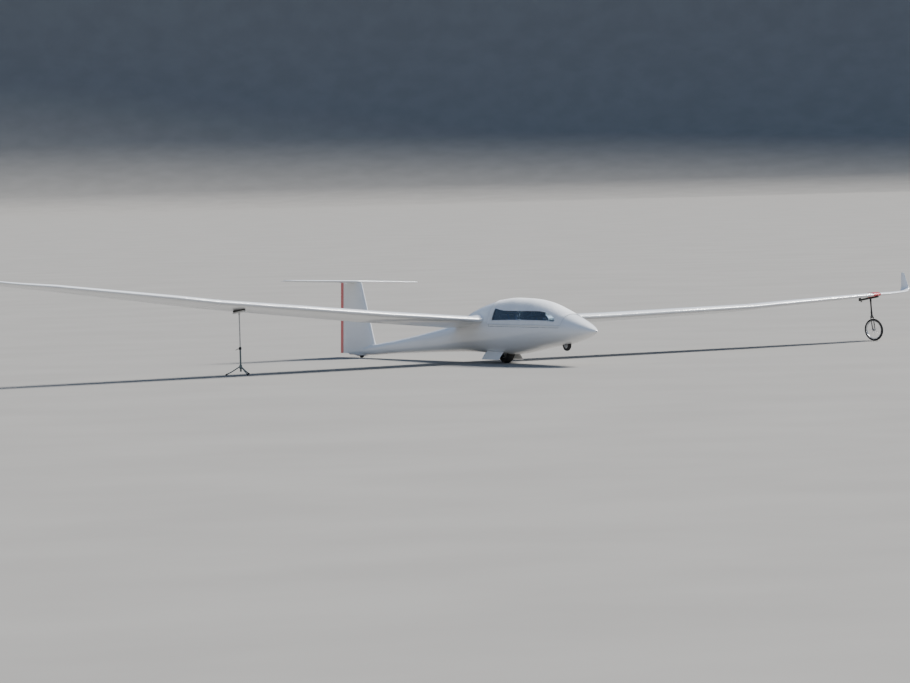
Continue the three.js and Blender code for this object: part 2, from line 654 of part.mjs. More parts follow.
const canopyCuts = POD_CUTS.filter((y) => y > 600 && y < 3300);
const canopyShell = (outer, inner) => cut(hullSolid(canopyCuts, outer), hullSolid(canopyCuts, inner));
const canopyZone = (trim, z) => block(-500, 500, CANOPY.front + trim, CANOPY.rear - trim, z, 1500);
const windowZ = SILL_Z + CANOPY.band;
piece('canopy_frame', cut(
  canopyShell(0, CANOPY.frame).intersect(canopyZone(0, SILL_Z)),
  canopyZone(CANOPY.arch, windowZ),
), 'gelcoat');
piece('canopy_glass', canopyShell(4, 12).intersect(canopyZone(CANOPY.arch + GAP, windowZ + GAP)), 'clear');
piece('canopy_cover', cut(
  canopyShell(-COVER.proud, -1).intersect(canopyZone(COVER.trim, COVER.hem)),
  sidePlate(COVER.window, -500, 500),
), 'cloth');

// Cockpit

const cockpitFit = hullSolid(POD_CUTS.slice(4), SKIN + GAP);
SEATS.forEach(({ name, neck, outline }) => {
  const width = (half, z0, z1) => block(-half, half, 0, 4000, z0, z1);
  const pan = sidePlate(outline, -400, 400).intersect(cockpitFit);
  piece(name, pan.intersect(join(
    width(400, 0, SEAT.sill),
    width(SEAT.back, SEAT.sill, neck),
    width(SEAT.headrest, neck, 2000),
  )), 'trim');
});
PANELS.forEach(({ name, y, top, half, foot }) => {
  const board = block(-half, half, y - BOARD.thick / 2, y + BOARD.thick / 2, top - BOARD.height, top);
  const hoodHalf = half + HOOD.wider;
  const hood = block(-hoodHalf, hoodHalf, y - HOOD.front, y + HOOD.rear, top - HOOD.under, top + HOOD.over);
  const pedestal = block(
    -PEDESTAL.half, PEDESTAL.half, y - PEDESTAL.front, y + PEDESTAL.rear, foot, top - PEDESTAL.below,
  );
  piece(name, join(board, hood, pedestal).intersect(cockpitFit), 'black');
});
STICKS.forEach(({ name, y, foot, top }) => {
  const head = point(0, y + STICK.rake, top);
  const lean = head.clone().sub(point(0, y, foot)).normalize();
  const gripFoot = head.clone().addScaledVector(lean, -STICK.gripFrom);
  const gripHead = gripFoot.clone().addScaledVector(lean, STICK.gripLength);
  const stick = join(rod(point(0, y, foot), head, STICK.radius), rod(gripFoot, gripHead, STICK.grip));
  piece(name, stick.intersect(cockpitFit), 'black');
});

// Fuselage wheels

// A tyre of oval section, and the rim that carries it with a bore for the axle
function wheel(name, { y, z, sides, radius, width, rim, axle }) {
  const [middleRadius, depth] = [(radius + rim) / 2, (radius - rim) / 2];
  const section = Array.from({ length: TYRE_SIDES }, (_, k) => {
    const turn = (2 * Math.PI * k) / TYRE_SIDES;
    return [middleRadius + depth * Math.cos(turn), (width / 2) * Math.sin(turn)];
  });
  const bead = rim + depth * 0.35;
  const well = [[0, -width], [0, width], [bead, width], [bead, -width]];
  piece(`${name}_tyre`, cut(turned(section, 0, y, z, sides), turned(well, 0, y, z, sides)), 'tyre');
  const [bed, flange, hub] = [bead - GAP, bead - 6, axle + 12];
  const seat = (width / 2) * 0.72;
  piece(`${name}_rim`, turned([
    [axle + 0.6, -seat], [hub, -seat], [hub, -seat * 0.4], [flange, -seat * 0.4], [flange, -seat], [bed, -seat],
    [bed, seat], [flange, seat], [flange, seat * 0.4], [hub, seat * 0.4], [hub, seat], [axle + 0.6, seat],
  ], 0, y, z, sides), 'alloy');
}

wheel('main_wheel', MAIN);
wheel('nose_wheel', NOSE);
wheel('tail_wheel', TAIL);

const acrossAt = ({ y, z }, half, radius) => rod(point(-half, y, z), point(half, y, z), radius);
piece('main_wheel_axle', acrossAt(MAIN, FORK.outer + 8, MAIN.axle), 'steel');
const forkSide = (x0, x1) => sidePlate(FORK.outline.map(([dy, z]) => [MAIN.y + dy, z]), x0, x1);
piece('main_gear_fork', cut(
  join(
    forkSide(-FORK.outer, -FORK.inner),
    forkSide(FORK.inner, FORK.outer),
    block(
      -FORK.outer, FORK.outer, MAIN.y - FORK.crownHalf, MAIN.y + FORK.crownHalf, FORK.crown, MAIN.bay.top - GAP,
    ),
  ),
  acrossAt(MAIN, 2 * FORK.outer, MAIN.axle + GAP),
), 'steel');
piece('nose_wheel_axle', acrossAt(NOSE, NOSE.bay.half - GAP, NOSE.axle), 'steel');
piece('tail_wheel_axle', acrossAt(TAIL, TAIL.bay.half - GAP, TAIL.axle), 'steel');

const bulge = new THREE.SphereGeometry(1, 24, 16).scale(FAIRING.half, FAIRING.length, FAIRING.depth);
piece('tail_wheel_fairing', cut(
  solidOf(bulge.translate(0, TAIL.y + FAIRING.aft, FAIRING.z)),
  boomSaddle,
  block(-200, 200, 7000, 9000, 100, 400),
  bayBox(TAIL.bay),
), 'gelcoat');

const hullClear = hullSolid(POD_CUTS, -GAP);
[[1, 'port'], [-1, 'starboard']].forEach(([side, label]) => {
  const [top, bottom] = [point(side * DOOR.hinge, 0, DOOR.top), point(side * DOOR.reach, 0, DOOR.bottom)];
  const down = bottom.clone().sub(top);
  const middleY = (DOOR.front + DOOR.rear) / 2;
  const panel = bar(
    top.clone().add(bottom).multiplyScalar(0.5).setY(middleY),
    point(0, 1, 0),
    down.clone().normalize(),
    DOOR.rear - DOOR.front,
    down.length(),
    DOOR.thick,
  );
  piece(`gear_door_${label}`, cut(panel, hullClear), 'gelcoat');
});

// Wing stand under the starboard wing

const UP = point(0, 1, 0);
const banked = (p) => p.clone().applyAxisAngle(UP, BANK);

function underWing(side, x, y, below) {
  const { le, chord, angle } = wingAt(x);
  const back = (y - le) / Math.cos(radians(angle));
  const { bow, half } = wingMiddle(x, back / chord);
  return wingPoint(side, x, back, bow - half - below);
}

function buildStand() {
  const { pad, crossbar, inner, outer, clamp, lever, hub, legs } = STAND;
  const { angle } = wingAt(-STAND.x);
  const aft = point(0, Math.cos(radians(angle)), -Math.sin(radians(angle)));
  const wingClear = wingSolid(-1, [WING_ROOT, ...WING.slice(1, 4).map(({ x }) => x)], GAP);
  const slab = (top, { length, width, height }) => bar(
    underWing(-1, -STAND.x, STAND.y, top + height / 2), point(1, 0, 0), aft, width, length, height,
  );
  const padTop = -pad.sunk;
  const crossbarTop = padTop + pad.height + GAP;
  piece('wing_stand_pad', cut(slab(padTop, pad), wingClear), 'black');
  piece('wing_stand_crossbar', slab(crossbarTop, crossbar), 'steel');

  const head = banked(underWing(-1, -STAND.x, STAND.y, crossbarTop + crossbar.height + GAP));
  const at = (z) => point(head.x, head.y, z);
  const top = head.z - 6;
  piece('wing_stand_inner_tube', join(
    rod(at(inner.from), at(top), inner.radius),
    rod(at(top - inner.socketLength - 4), at(top - 4), inner.radius, inner.socket),
  ), 'steel', ground);
  const bore = ({ radius }, z0, z1) => rod(at(z0), at(z1), radius + GAP);
  piece('wing_stand_outer_tube', cut(
    rod(at(outer.from), at(outer.to), outer.radius),
    bore(inner, inner.from - 10, outer.to + 10),
  ), 'grey', ground);
  const leverEnd = at(outer.to - lever.drop).add(point(lever.out, lever.aft, 0));
  piece('wing_stand_clamp', cut(
    join(
      rod(at(outer.to - clamp.below), at(outer.to + clamp.above), outer.radius + clamp.wall),
      rod(at(outer.to), leverEnd, lever.thick, lever.thin, 10),
    ),
    bore(outer, outer.to - 2 * clamp.below, outer.to + GAP),
    bore(inner, outer.to - 2 * clamp.below, outer.to + 2 * clamp.above),
  ), 'black', ground);
  const tubes = legs.headings.flatMap((heading) => {
    const out = point(Math.cos(radians(heading)), Math.sin(radians(heading)), 0);
    const on = (z, reach) => at(z).addScaledVector(out, reach);
    return [
      rod(on(hub.z, legs.root), on(legs.kneeZ, legs.knee + 4), legs.radius, legs.radius, 8),
      rod(on(legs.kneeZ, legs.knee - 4), on(legs.toeZ, legs.toe), legs.radius, legs.radius, 8),
    ];
  });
  const below = block(head.x - 600, head.x + 600, head.y - 600, head.y + 600, -100, 0);
  piece('wing_stand_tripod', cut(
    join(rod(at(hub.z - hub.below), at(hub.z + hub.above), outer.radius + hub.wall), ...tubes),
    bore(outer, 0, hub.z + 2 * hub.above),
    below,
  ), 'grey', ground);
}
buildStand();

// Wing wheel clamped to the port wing

// The leading edge shell and the bar under the wing, with its hook behind the trailing edge.
// Returns the bar's form, grown by a gap, for the post to be fitted to.
function buildWingClamp() {
  const { shell, beam, hook, x } = OUTRIGGER;
  const spans = [8600, 8800, 9100];
  const grown = (grow) => wingSolid(1, spans, grow);
  const { le, chord, angle } = wingAt(x);
  const nearEdge = (extra) => block(
    x - shell.length / 2 - extra, x + shell.length / 2 + extra,
    le - 70, le + chord * shell.share + extra,
    0, 2000,
  );
  piece('wing_wheel_clamp_shell', cut(grown(shell.thick), grown(GAP)).intersect(nearEdge(0)), 'red');
  const aft = point(0, Math.cos(radians(angle)), -Math.sin(radians(angle)));
  const beamGrown = (extra) => bar(
    underWing(1, x, le + chord * beam.centre, beam.below), point(1, 0, 0), aft,
    beam.width + extra, chord * beam.share + extra, beam.height + extra,
  );
  const hookBlock = bar(
    wingPoint(1, x, chord + hook.behind, -hook.drop), point(1, 0, 0), aft, beam.width, hook.thick, hook.height,
  );
  const shellClear = grown(shell.thick + GAP).intersect(nearEdge(1));
  piece('wing_wheel_clamp_bar', cut(join(beamGrown(0), hookBlock), grown(GAP), shellClear), 'black');
  return beamGrown(2 * GAP);
}

// The castor's own frame: Z along its upright, X along the wheel's axle, Y behind it, at axle height
function castorFrame() {
  const { lean, heading, trail, tyre, beam, x, y } = OUTRIGGER;
  const top = banked(underWing(1, x, y, beam.below));
  const up = point(-Math.sin(radians(lean)), 0, Math.cos(radians(lean)));
  const ahead = point(Math.sin(radians(heading)), -Math.cos(radians(heading)), 0);
  ahead.addScaledVector(up, -ahead.dot(up)).normalize();
  const axleZ = (tyre.radius - tyre.section) * Math.hypot(ahead.z, up.z) + tyre.section;
  const drop = (top.z - ahead.z * trail - axleZ) / up.z;
  const matrix = new THREE.Matrix4().makeBasis(up.clone().cross(ahead), ahead.clone().negate(), up)
    .setPosition(top.addScaledVector(up, -drop));
  return { matrix, drop };
}

function buildWingWheel() {
  const { trail, tyre, rim, hub, spokes, axle, fork, head } = OUTRIGGER;
  const beamClear = buildWingClamp();
  const { matrix, drop } = castorFrame();
  const castor = new THREE.Group();
  castor.name = 'wing_wheel_castor';
  castor.matrixAutoUpdate = false;
  castor.matrix.copy(matrix);
  ground.add(castor);

  const section = Array.from({ length: tyre.sides }, (_, k) => {
    const turn = (2 * Math.PI * k) / tyre.sides;
    return [tyre.radius - tyre.section + tyre.section * Math.cos(turn), tyre.section * Math.sin(turn)];
  });
  const wide = 3 * tyre.section;
  const well = [[0, -wide], [0, wide], [rim.bed, wide], [rim.bed, -wide]];
  piece('wing_wheel_tyre', cut(turned(section, 0, trail, 0), turned(well, 0, trail, 0)), 'tyre', castor);

  const wires = Array.from({ length: spokes.count }, (_, k) => {
    const turn = (2 * Math.PI * k) / spokes.count;
    const out = (size, x) => point(x, trail + size * Math.cos(turn), size * Math.sin(turn));
    const side = k % 2 ? spokes.spread : -spokes.spread;
    return rod(out(spokes.root, side), out(rim.bed - spokes.short, 0), spokes.radius, spokes.radius, 6);
  });
  const band = turned([
    [rim.bed - rim.depth, -rim.innerHalf], [rim.bed - GAP, -rim.half],
    [rim.bed - GAP, rim.half], [rim.bed - rim.depth, rim.innerHalf],
  ], 0, trail, 0);
  const barrel = turned([[0, -hub.half], [0, hub.half], [hub.radius, hub.half], [hub.radius, -hub.half]],
    0, trail, 0, 24);
  const acrossWheel = (half, radius) => rod(point(-half, trail, 0), point(half, trail, 0), radius);
  const bore = acrossWheel(60, axle.radius + 2 * GAP);
  piece('wing_wheel_rim', cut(join(band, barrel, ...wires), bore), 'alloy', castor);
  piece('wing_wheel_axle', acrossWheel(axle.half, axle.radius), 'steel', castor);

  const rake = point(0, -trail, fork.crown).normalize();
  const leg = (side) => bar(point(side * fork.half, trail / 2, fork.crown / 2 - 6), rake, point(1, 0, 0),
    fork.crown + 2 * fork.crownHigh, fork.thick, fork.wide);
  piece('wing_wheel_fork', cut(
    join(
      leg(1),
      leg(-1),
      block(
        -fork.crownHalf, fork.crownHalf, -fork.crownFront, fork.crownRear, fork.crown, fork.crown + fork.crownHigh,
      ),
      rod(point(0, 0, fork.crown + 10), point(0, 0, head.top - 12), head.stem),
    ),
    acrossWheel(60, axle.radius + GAP),
  ), 'black', castor);
  const intoCastor = matrix.clone().invert().multiply(new THREE.Matrix4().makeRotationY(BANK));
  piece('wing_wheel_post', cut(
    join(
      rod(point(0, 0, head.bottom), point(0, 0, head.top), head.tube),
      rod(point(0, 0, head.top - 6), point(0, 0, drop + 6), head.post),
    ),
    rod(point(0, 0, head.bottom - 20), point(0, 0, head.top - 6), head.stem + 2 * GAP),
    solidOf(geometryOf(beamClear).applyMatrix4(intoCastor)),
  ), 'black', castor);
}
buildWingWheel();

// The whole machine

const sailplane = new THREE.Group();
sailplane.name = 'sailplane';
sailplane.add(airframe, ground);
sailplane.updateMatrixWorld(true);
const bounds = new THREE.Box3().setFromObject(sailplane, true);
const middle = bounds.getCenter(point(0, 0, 0));
sailplane.position.set(-middle.x, -middle.y, -bounds.min.z);

export default sailplane;
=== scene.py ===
"""Looks of a two-seat sailplane, parked tail down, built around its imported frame.

The airframe is drawn level, in metres, with +X to port, +Y aft of the nose and +Z up from the ground. Workshop
carries each mesh into the shared frame, where the airframe leans a little to port on its two fuselage wheels.
"""

import json
import logging
import math
from dataclasses import dataclass
from enum import Enum
from functools import lru_cache
from typing import Any, Callable, Iterable, Sequence

import bmesh
import bpy
from mathutils import Matrix, Vector, noise

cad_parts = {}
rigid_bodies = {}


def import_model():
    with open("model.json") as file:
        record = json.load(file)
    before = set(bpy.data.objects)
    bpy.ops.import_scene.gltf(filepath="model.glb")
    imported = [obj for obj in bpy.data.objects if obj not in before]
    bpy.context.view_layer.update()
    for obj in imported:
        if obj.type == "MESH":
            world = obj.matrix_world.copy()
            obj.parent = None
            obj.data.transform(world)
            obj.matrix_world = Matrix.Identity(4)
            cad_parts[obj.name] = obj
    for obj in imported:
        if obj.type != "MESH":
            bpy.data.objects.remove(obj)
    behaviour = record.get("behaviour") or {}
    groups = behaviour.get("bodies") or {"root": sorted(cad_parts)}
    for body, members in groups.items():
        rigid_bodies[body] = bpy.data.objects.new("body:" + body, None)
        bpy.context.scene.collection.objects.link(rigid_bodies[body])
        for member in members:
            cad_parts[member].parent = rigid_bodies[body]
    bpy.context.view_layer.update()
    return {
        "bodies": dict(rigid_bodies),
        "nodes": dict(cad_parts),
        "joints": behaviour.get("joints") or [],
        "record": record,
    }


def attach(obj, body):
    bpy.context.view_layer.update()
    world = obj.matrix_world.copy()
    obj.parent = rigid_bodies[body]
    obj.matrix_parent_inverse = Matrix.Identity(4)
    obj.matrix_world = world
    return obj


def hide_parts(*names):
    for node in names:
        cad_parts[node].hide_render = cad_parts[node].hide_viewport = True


LOG = logging.getLogger("sailplane")

Colour = tuple[float, float, float]
Ring = list[Vector]
X_AXIS = Vector((1.0, 0.0, 0.0))
Y_AXIS = Vector((0.0, 1.0, 0.0))
Z_AXIS = Vector((0.0, 0.0, 1.0))
HALF_TURN = math.pi
FULL_TURN = 2.0 * math.pi
GAP = 0.0003  # between pieces that touch
CLEAR = 0.006  # between pieces that move against each other
MERGE = 1e-6  # points closer than this are one
JUST_IN, JUST_OUT = -1e-5, 1e-4  # slack for what lies inside a cut, and for what lies on its line
SHARED_FRAME = Matrix.Identity(4)  # for pieces that are drawn where they stand


# Driving dimensions, in the airframe's own level frame


@dataclass(frozen=True)
class HullRow:
    """One fuselage section: station, top, bottom, half width and height of the widest point."""

    y: float
    top: float
    bottom: float
    half: float
    wide: float


HULL_ROWS = tuple(HullRow(*row) for row in (
    (0.000, 0.622, 0.600, 0.011, 0.611),
    (0.018, 0.638, 0.588, 0.034, 0.612),
    (0.060, 0.659, 0.570, 0.068, 0.614),
    (0.160, 0.706, 0.534, 0.124, 0.618),
    (0.370, 0.788, 0.472, 0.202, 0.622),
    (0.830, 0.934, 0.372, 0.287, 0.624),
    (1.450, 1.106, 0.296, 0.338, 0.622),
    (2.000, 1.166, 0.212, 0.353, 0.612),
    (2.400, 1.175, 0.170, 0.355, 0.600),
    (2.860, 1.146, 0.155, 0.348, 0.582),
    (3.340, 1.063, 0.170, 0.328, 0.556),
    (3.780, 0.944, 0.182, 0.296, 0.520),
    (4.100, 0.812, 0.182, 0.260, 0.472),
    (4.600, 0.662, 0.170, 0.208, 0.408),
    (5.130, 0.568, 0.155, 0.168, 0.362),
    (5.790, 0.464, 0.131, 0.141, 0.310),
    (6.650, 0.344, 0.097, 0.111, 0.238),
    (7.420, 0.258, 0.058, 0.084, 0.160),
    (8.270, 0.188, 0.046, 0.044, 0.118),
))
HULL_EXPONENT = 2.15  # of the superellipse that each section is
BOOM_END = 8.262


@dataclass(frozen=True)
class WingRow:
    """One wing section: span, leading edge, chord, leading edge height and incidence in degrees."""

    x: float
    le: float
    chord: float
    z: float
    angle: float


WING_ROWS = tuple(WingRow(*row) for row in (
    (0.400, 3.170, 1.060, 0.772, 8.6),
    (2.400, 3.147, 0.990, 0.858, 8.4),
    (4.000, 3.130, 0.930, 0.949, 8.2),
    (5.750, 3.179, 0.825, 1.048, 8.0),
    (6.500, 3.200, 0.780, 1.113, 7.9),
    (8.800, 3.420, 0.560, 1.293, 7.6),
    (9.400, 3.590, 0.430, 1.327, 7.5),
    (9.700, 3.690, 0.360, 1.352, 7.5),
))
WING_ROOT, WING_JOINT, WING_TIP = 0.400, 5.750, 9.700
WING_THICKNESS, WING_CAMBER, WING_CREST = 0.14, 0.032, 0.4


@dataclass(frozen=True)
class WingletRow:
    """One winglet section: distance along it, span, leading edge, chord, height, lean in degrees, thickness."""

    at: float
    x: float
    le: float
    chord: float
    z: float
    lean: float
    thickness: float


WINGLET_ROWS = tuple(WingletRow(*row) for row in (
    (0.00, 9.700, 3.690, 0.360, 1.352, 0.0, 0.14),
    (0.15, 9.850, 3.760, 0.315, 1.372, 18.0, 0.13),
    (0.24, 9.935, 3.830, 0.270, 1.402, 48.0, 0.12),
    (0.30, 9.968, 3.880, 0.236, 1.452, 76.0, 0.11),
    (0.43, 9.982, 3.965, 0.170, 1.580, 84.0, 0.10),
    (0.57, 9.996, 4.055, 0.100, 1.720, 84.0, 0.10),
))


@dataclass(frozen=True)
class FinRow:
    """One fin section: height, leading edge, trailing edge and thickness as a part of the chord."""

    z: float
    le: float
    te: float
    ratio: float


FIN_ROWS = tuple(FinRow(*row) for row in (
    (0.060, 7.286, 8.620, 0.100),
    (0.240, 7.362, 8.622, 0.105),
    (0.800, 7.614, 8.631, 0.115),
    (1.426, 7.895, 8.641, 0.115),
))


@dataclass(frozen=True)
class TailplaneRow:
    """One tailplane section on either side: span, leading edge, chord and leading edge height."""

    x: float
    le: float
    chord: float
    z: float


TAILPLANE_ROWS = tuple(TailplaneRow(*row) for row in (
    (0.000, 7.978, 0.502, 1.446),
    (0.900, 8.048, 0.404, 1.444),
    (1.400, 8.125, 0.304, 1.442),
    (1.462, 8.215, 0.200, 1.440),
))


class Side(Enum):
    """A side of the aircraft, by the sign of its X."""

    PORT = 1
    STARBOARD = -1

    @property
    def label(self) -> str:
        """The side's name, as it ends the names of its pieces."""
        return self.name.lower()


# Curves through the tables


def straight(rows: Sequence[Any], key: str, column: str, at: float) -> float:
    """Reads one column of a table along straight lines.

    Args:
        rows: the table, in order of its key.
        key: the column that runs along the table.
        column: the column that is read.
        at: where on the key.

    Returns:
        The column's value there, carried on straight past either end.
    """
    index = 0
    while index < len(rows) - 2 and at > getattr(rows[index + 1], key):
        index += 1
    low, high = rows[index], rows[index + 1]
    share = (at - getattr(low, key)) / (getattr(high, key) - getattr(low, key))
    return getattr(low, column) + share * (getattr(high, column) - getattr(low, column))


def curved(rows: Sequence[Any], key: str, column: str, at: float) -> float:
    """Reads one column of a table along a smooth curve that never overshoots.

    Args:
        rows: the table, in order of its key.
        key: the column that runs along the table.
        column: the column that is read.
        at: where on the key.

    Returns:
        The column's value there.
    """
    last = len(rows) - 1
    keys = [getattr(row, key) for row in rows]
    values = [getattr(row, column) for row in rows]

    def slope(index: int) -> float:
        """The straight slope from one row to the next."""
        return (values[index + 1] - values[index]) / (keys[index + 1] - keys[index])

    def tangent(index: int) -> float:
        """The curve's slope at a row."""
        if index in (0, last):
            return slope(min(index, last - 1))
        before, after = slope(index - 1), slope(index)
        return 0.0 if before * after <= 0 else 2 * before * after / (before + after)

    index = 0
    while index < last - 1 and at > keys[index + 1]:
        index += 1
    width = keys[index + 1] - keys[index]
    t = min(max((at - keys[index]) / width, 0.0), 1.0)
    return (
        (1 + 2 * t) * (1 - t) ** 2 * values[index]
        + t * (1 - t) ** 2 * width * tangent(index)
        + t * t * (3 - 2 * t) * values[index + 1]
        + t * t * (t - 1) * width * tangent(index + 1)
    )


def blend(low: float, high: float, share: float) -> float:
    """A value part of the way from low to high."""
    return low + (high - low) * share


def spread(low: float, high: float, count: int) -> list[float]:
    """Values evenly spaced from low to high, both ends included, in count steps."""
    return [blend(low, high, step / count) for step in range(count + 1)]


def full_circle(count: int) -> list[float]:
    """Angles evenly spaced round a full turn, from 0."""
    return [FULL_TURN * step / count for step in range(count)]


def frame_at(place: Sequence[float], across: Vector, along: Vector, up: Vector) -> Matrix:
    """A frame with its origin at a place and its axes in three directions."""
    return Matrix.Translation(place) @ Matrix((across, along, up)).transposed().to_4x4()


class Hull:
    """The fuselage's outer form: superellipse sections on curves through HULL_ROWS."""

    softening: float = 0.12  # half the length over which a section's size is evened out

    @lru_cache(maxsize=None)
    def sizes(self, y: float) -> tuple[float, float, float, float]:
        """The top, bottom, half width and widest height of the section at a station."""
        reach = min(self.softening, 0.25 * y, 0.5 * max(BOOM_END - y, 0.0))
        weights = ((-1.0, 1.0), (-0.5, 2.0), (0.0, 2.0), (0.5, 2.0), (1.0, 1.0))
        total = sum(weight for _, weight in weights)
        return tuple(
            sum(weight * curved(HULL_ROWS, "y", column, y + step * reach) for step, weight in weights) / total
            for column in ("top", "bottom", "half", "wide")
        )

    def point(self, y: float, turn: float, out: float = 0.0) -> Vector:
        """A point of the skin.

        Args:
            y: station behind the nose.
            turn: angle round the section, from port over the top.
            out: how far outside the skin the point is.

        Returns:
            The point in the airframe's frame.
        """
        top, bottom, half, wide = self.sizes(y)
        across, up = math.cos(turn), math.sin(turn)
        power = 2.0 / HULL_EXPONENT
        height = (top - wide if up > 0 else wide - bottom) + out
        return Vector((
            math.copysign(max(half + out, 0.004) * abs(across) ** power, across),
            y,
            wide + math.copysign(max(height, 0.004) * abs(up) ** power, up),
        ))

    def ring(self, y: float, count: int, out: float = 0.0) -> Ring:
        """A whole section as count points."""
        return [self.point(y, turn, out) for turn in full_circle(count)]

    def turn_at(self, y: float, z: float, out: float = 0.0) -> float:
        """The turn at which the port side, above its widest point, reaches a height."""
        top, _, _, wide = self.sizes(y)
        share = min(max((z - wide) / (top - wide + out), 0.0), 1.0)
        return math.asin(share ** (HULL_EXPONENT / 2.0))


HULL = Hull()


@dataclass(frozen=True)
class Chord:
    """One station of a wing, fin or tailplane, with its own aerofoil."""

    lead: Vector
    aft: Vector
    up: Vector
    length: float
    thickness: float
    camber: float = 0.0
    crest: float = 0.4
    tail: float = 0.003

    def half(self, u: float) -> float:
        """Half the thickness at a part of the chord."""
        form = 0.2969 * math.sqrt(u) - 0.126 * u - 0.3516 * u ** 2 + 0.2843 * u ** 3 - 0.1036 * u ** 4
        return 5 * self.thickness * form * self.length + self.tail / 2 * u

    def bow(self, u: float) -> float:
        """Height of the middle line over the chord line at a part of the chord."""
        if u < self.crest:
            return self.camber / self.crest ** 2 * (2 * self.crest * u - u * u) * self.length
        rest = 1 - self.crest
        return self.camber / rest ** 2 * (1 - 2 * self.crest + 2 * self.crest * u - u * u) * self.length

    def at(self, u: float, side: float, off: float = 0.0) -> Vector:
        """A point on the upper (side 1), lower (-1) or middle (0) line, off the surface by a distance."""
        height = self.bow(u) + side * (self.half(u) + off)
        return self.lead + self.aft * (u * self.length) + self.up * height

    def share(self, distance: float) -> float:
        """A distance along the chord as a part of it."""
        return distance / self.length


def wing_chord(side: Side, x: float, grow: float = 0.0) -> Chord:
    """The wing's station at a span.

    Args:
        side: the side of the aircraft.
        x: the span, which is positive on both sides.
        grow: how much thicker it is on each face, for the root fairing.

    Returns:
        The station, in the airframe's frame.
    """
    le, chord, z, angle = (straight(WING_ROWS, "x", name, x) for name in ("le", "chord", "z", "angle"))
    tilt = math.radians(angle)
    return Chord(
        lead=Vector((side.value * x, le, z)),
        aft=Vector((0.0, math.cos(tilt), -math.sin(tilt))),
        up=Vector((0.0, math.sin(tilt), math.cos(tilt))),
        length=chord,
        thickness=WING_THICKNESS + 2 * grow / chord,
        camber=WING_CAMBER,
        crest=WING_CREST,
    )


# Meshes


def skin(bm: bmesh.types.BMesh, rings: Sequence[Ring], closed: bool = True, finish: int = 0) -> None:
    """Adds a skin through rings of equal length, from a grid whose rows become the rings.

    Args:
        bm: the mesh that it is added to.
        rings: the rings, in order.
        closed: whether each ring closes on itself.
        finish: the material slot of its faces.
    """
    columns = len(rings[0]) - (0 if closed else 1)
    made = bmesh.ops.create_grid(bm, x_segments=columns, y_segments=len(rings) - 1, size=1.0)["verts"]
    for index, vert in enumerate(made):
        row, column = divmod(index, columns + 1)
        vert.co = rings[row][column % len(rings[0])]
    for face in {face for vert in made for face in vert.link_faces}:
        face.material_index = finish
    bmesh.ops.remove_doubles(bm, verts=made, dist=MERGE)


def close_ends(bm: bmesh.types.BMesh) -> None:
    """Fills every open rim of a mesh with a flat cap."""
    bmesh.ops.holes_fill(bm, edges=[edge for edge in bm.edges if edge.is_boundary], sides=0)


def lofted(rings: Sequence[Ring]) -> bmesh.types.BMesh:
    """A new closed mesh through rings, capped at both ends."""
    bm = bmesh.new()
    skin(bm, rings)
    close_ends(bm)
    return bm


def of_kind(parts: Iterable[Any], kind: type) -> list[Any]:
    """The parts of one kind, such as the vertices."""
    return [part for part in parts if isinstance(part, kind)]


def cut_away(bm: bmesh.types.BMesh, doomed: Callable[[Vector], bool]) -> None:
    """Deletes the faces whose middle is at a doomed place."""
    faces = [face for face in bm.faces if doomed(face.calc_center_median())]
    bmesh.ops.delete(bm, geom=faces, context="FACES")


def wall_from_rim(bm: bmesh.types.BMesh, inside: Callable[[Vector], bool]) -> list[Any]:
    """Starts a wall, still of no height, from the open edges that lie inside, and gives its parts."""
    rim = [edge for edge in bm.edges if edge.is_boundary and all(inside(vert.co) for vert in edge.verts)]
    return bmesh.ops.extrude_edge_only(bm, edges=rim)["geom"]


def round_off(bm: bmesh.types.BMesh, edges: Sequence[bmesh.types.BMEdge], by: float) -> None:
    """Rounds edges by a bevel of two segments."""
    bmesh.ops.bevel(bm, geom=edges, offset=by, segments=2, affect="EDGES", profile=0.5, material=-1)


def score(
    bm: bmesh.types.BMesh,
    point: Vector,
    normal: Vector,
    chosen: Callable[[Vector], bool] | None = None,
) -> None:
    """Cuts faces along a plane and leaves both sides in place.

    Args:
        bm: the mesh.
        point: a point of the plane.
        normal: the plane's normal.
        chosen: whether a face is cut, by its middle; all are cut if it isn't given.
    """
    faces = [face for face in bm.faces if chosen is None or chosen(face.calc_center_median())]
    parts = set(faces)
    for face in faces:
        parts.update(face.edges)
        parts.update(face.verts)
    bmesh.ops.bisect_plane(bm, geom=list(parts), plane_co=point, plane_no=normal, dist=MERGE)


def rod(
    bm: bmesh.types.BMesh,
    start: Vector,
    end: Vector,
    radius: float,
    end_radius: float | None = None,
    sides: int = 32,
    edge: float = 0.0,
) -> None:
    """Adds a round bar or cone between two points.

    Args:
        bm: the mesh that it is added to.
        start: the middle of one end.
        end: the middle of the other end.
        radius: its radius at the start.
        end_radius: its radius at the end, if another.
        sides: points round it.
        edge: how far its end edges are rounded.
    """
    axis = end - start
    turn = axis.to_track_quat("Z", "Y").to_matrix().to_4x4()
    made = bmesh.ops.create_cone(
        bm,
        cap_ends=True,
        segments=sides,
        radius1=radius,
        radius2=radius if end_radius is None else end_radius,
        depth=axis.length,
        matrix=Matrix.Translation((start + end) / 2) @ turn,
    )["verts"]
    if edge > 0:
        caps = {face for vert in made for face in vert.link_faces if len(face.verts) > 4}
        round_off(bm, list({rim for face in caps for rim in face.edges}), edge)


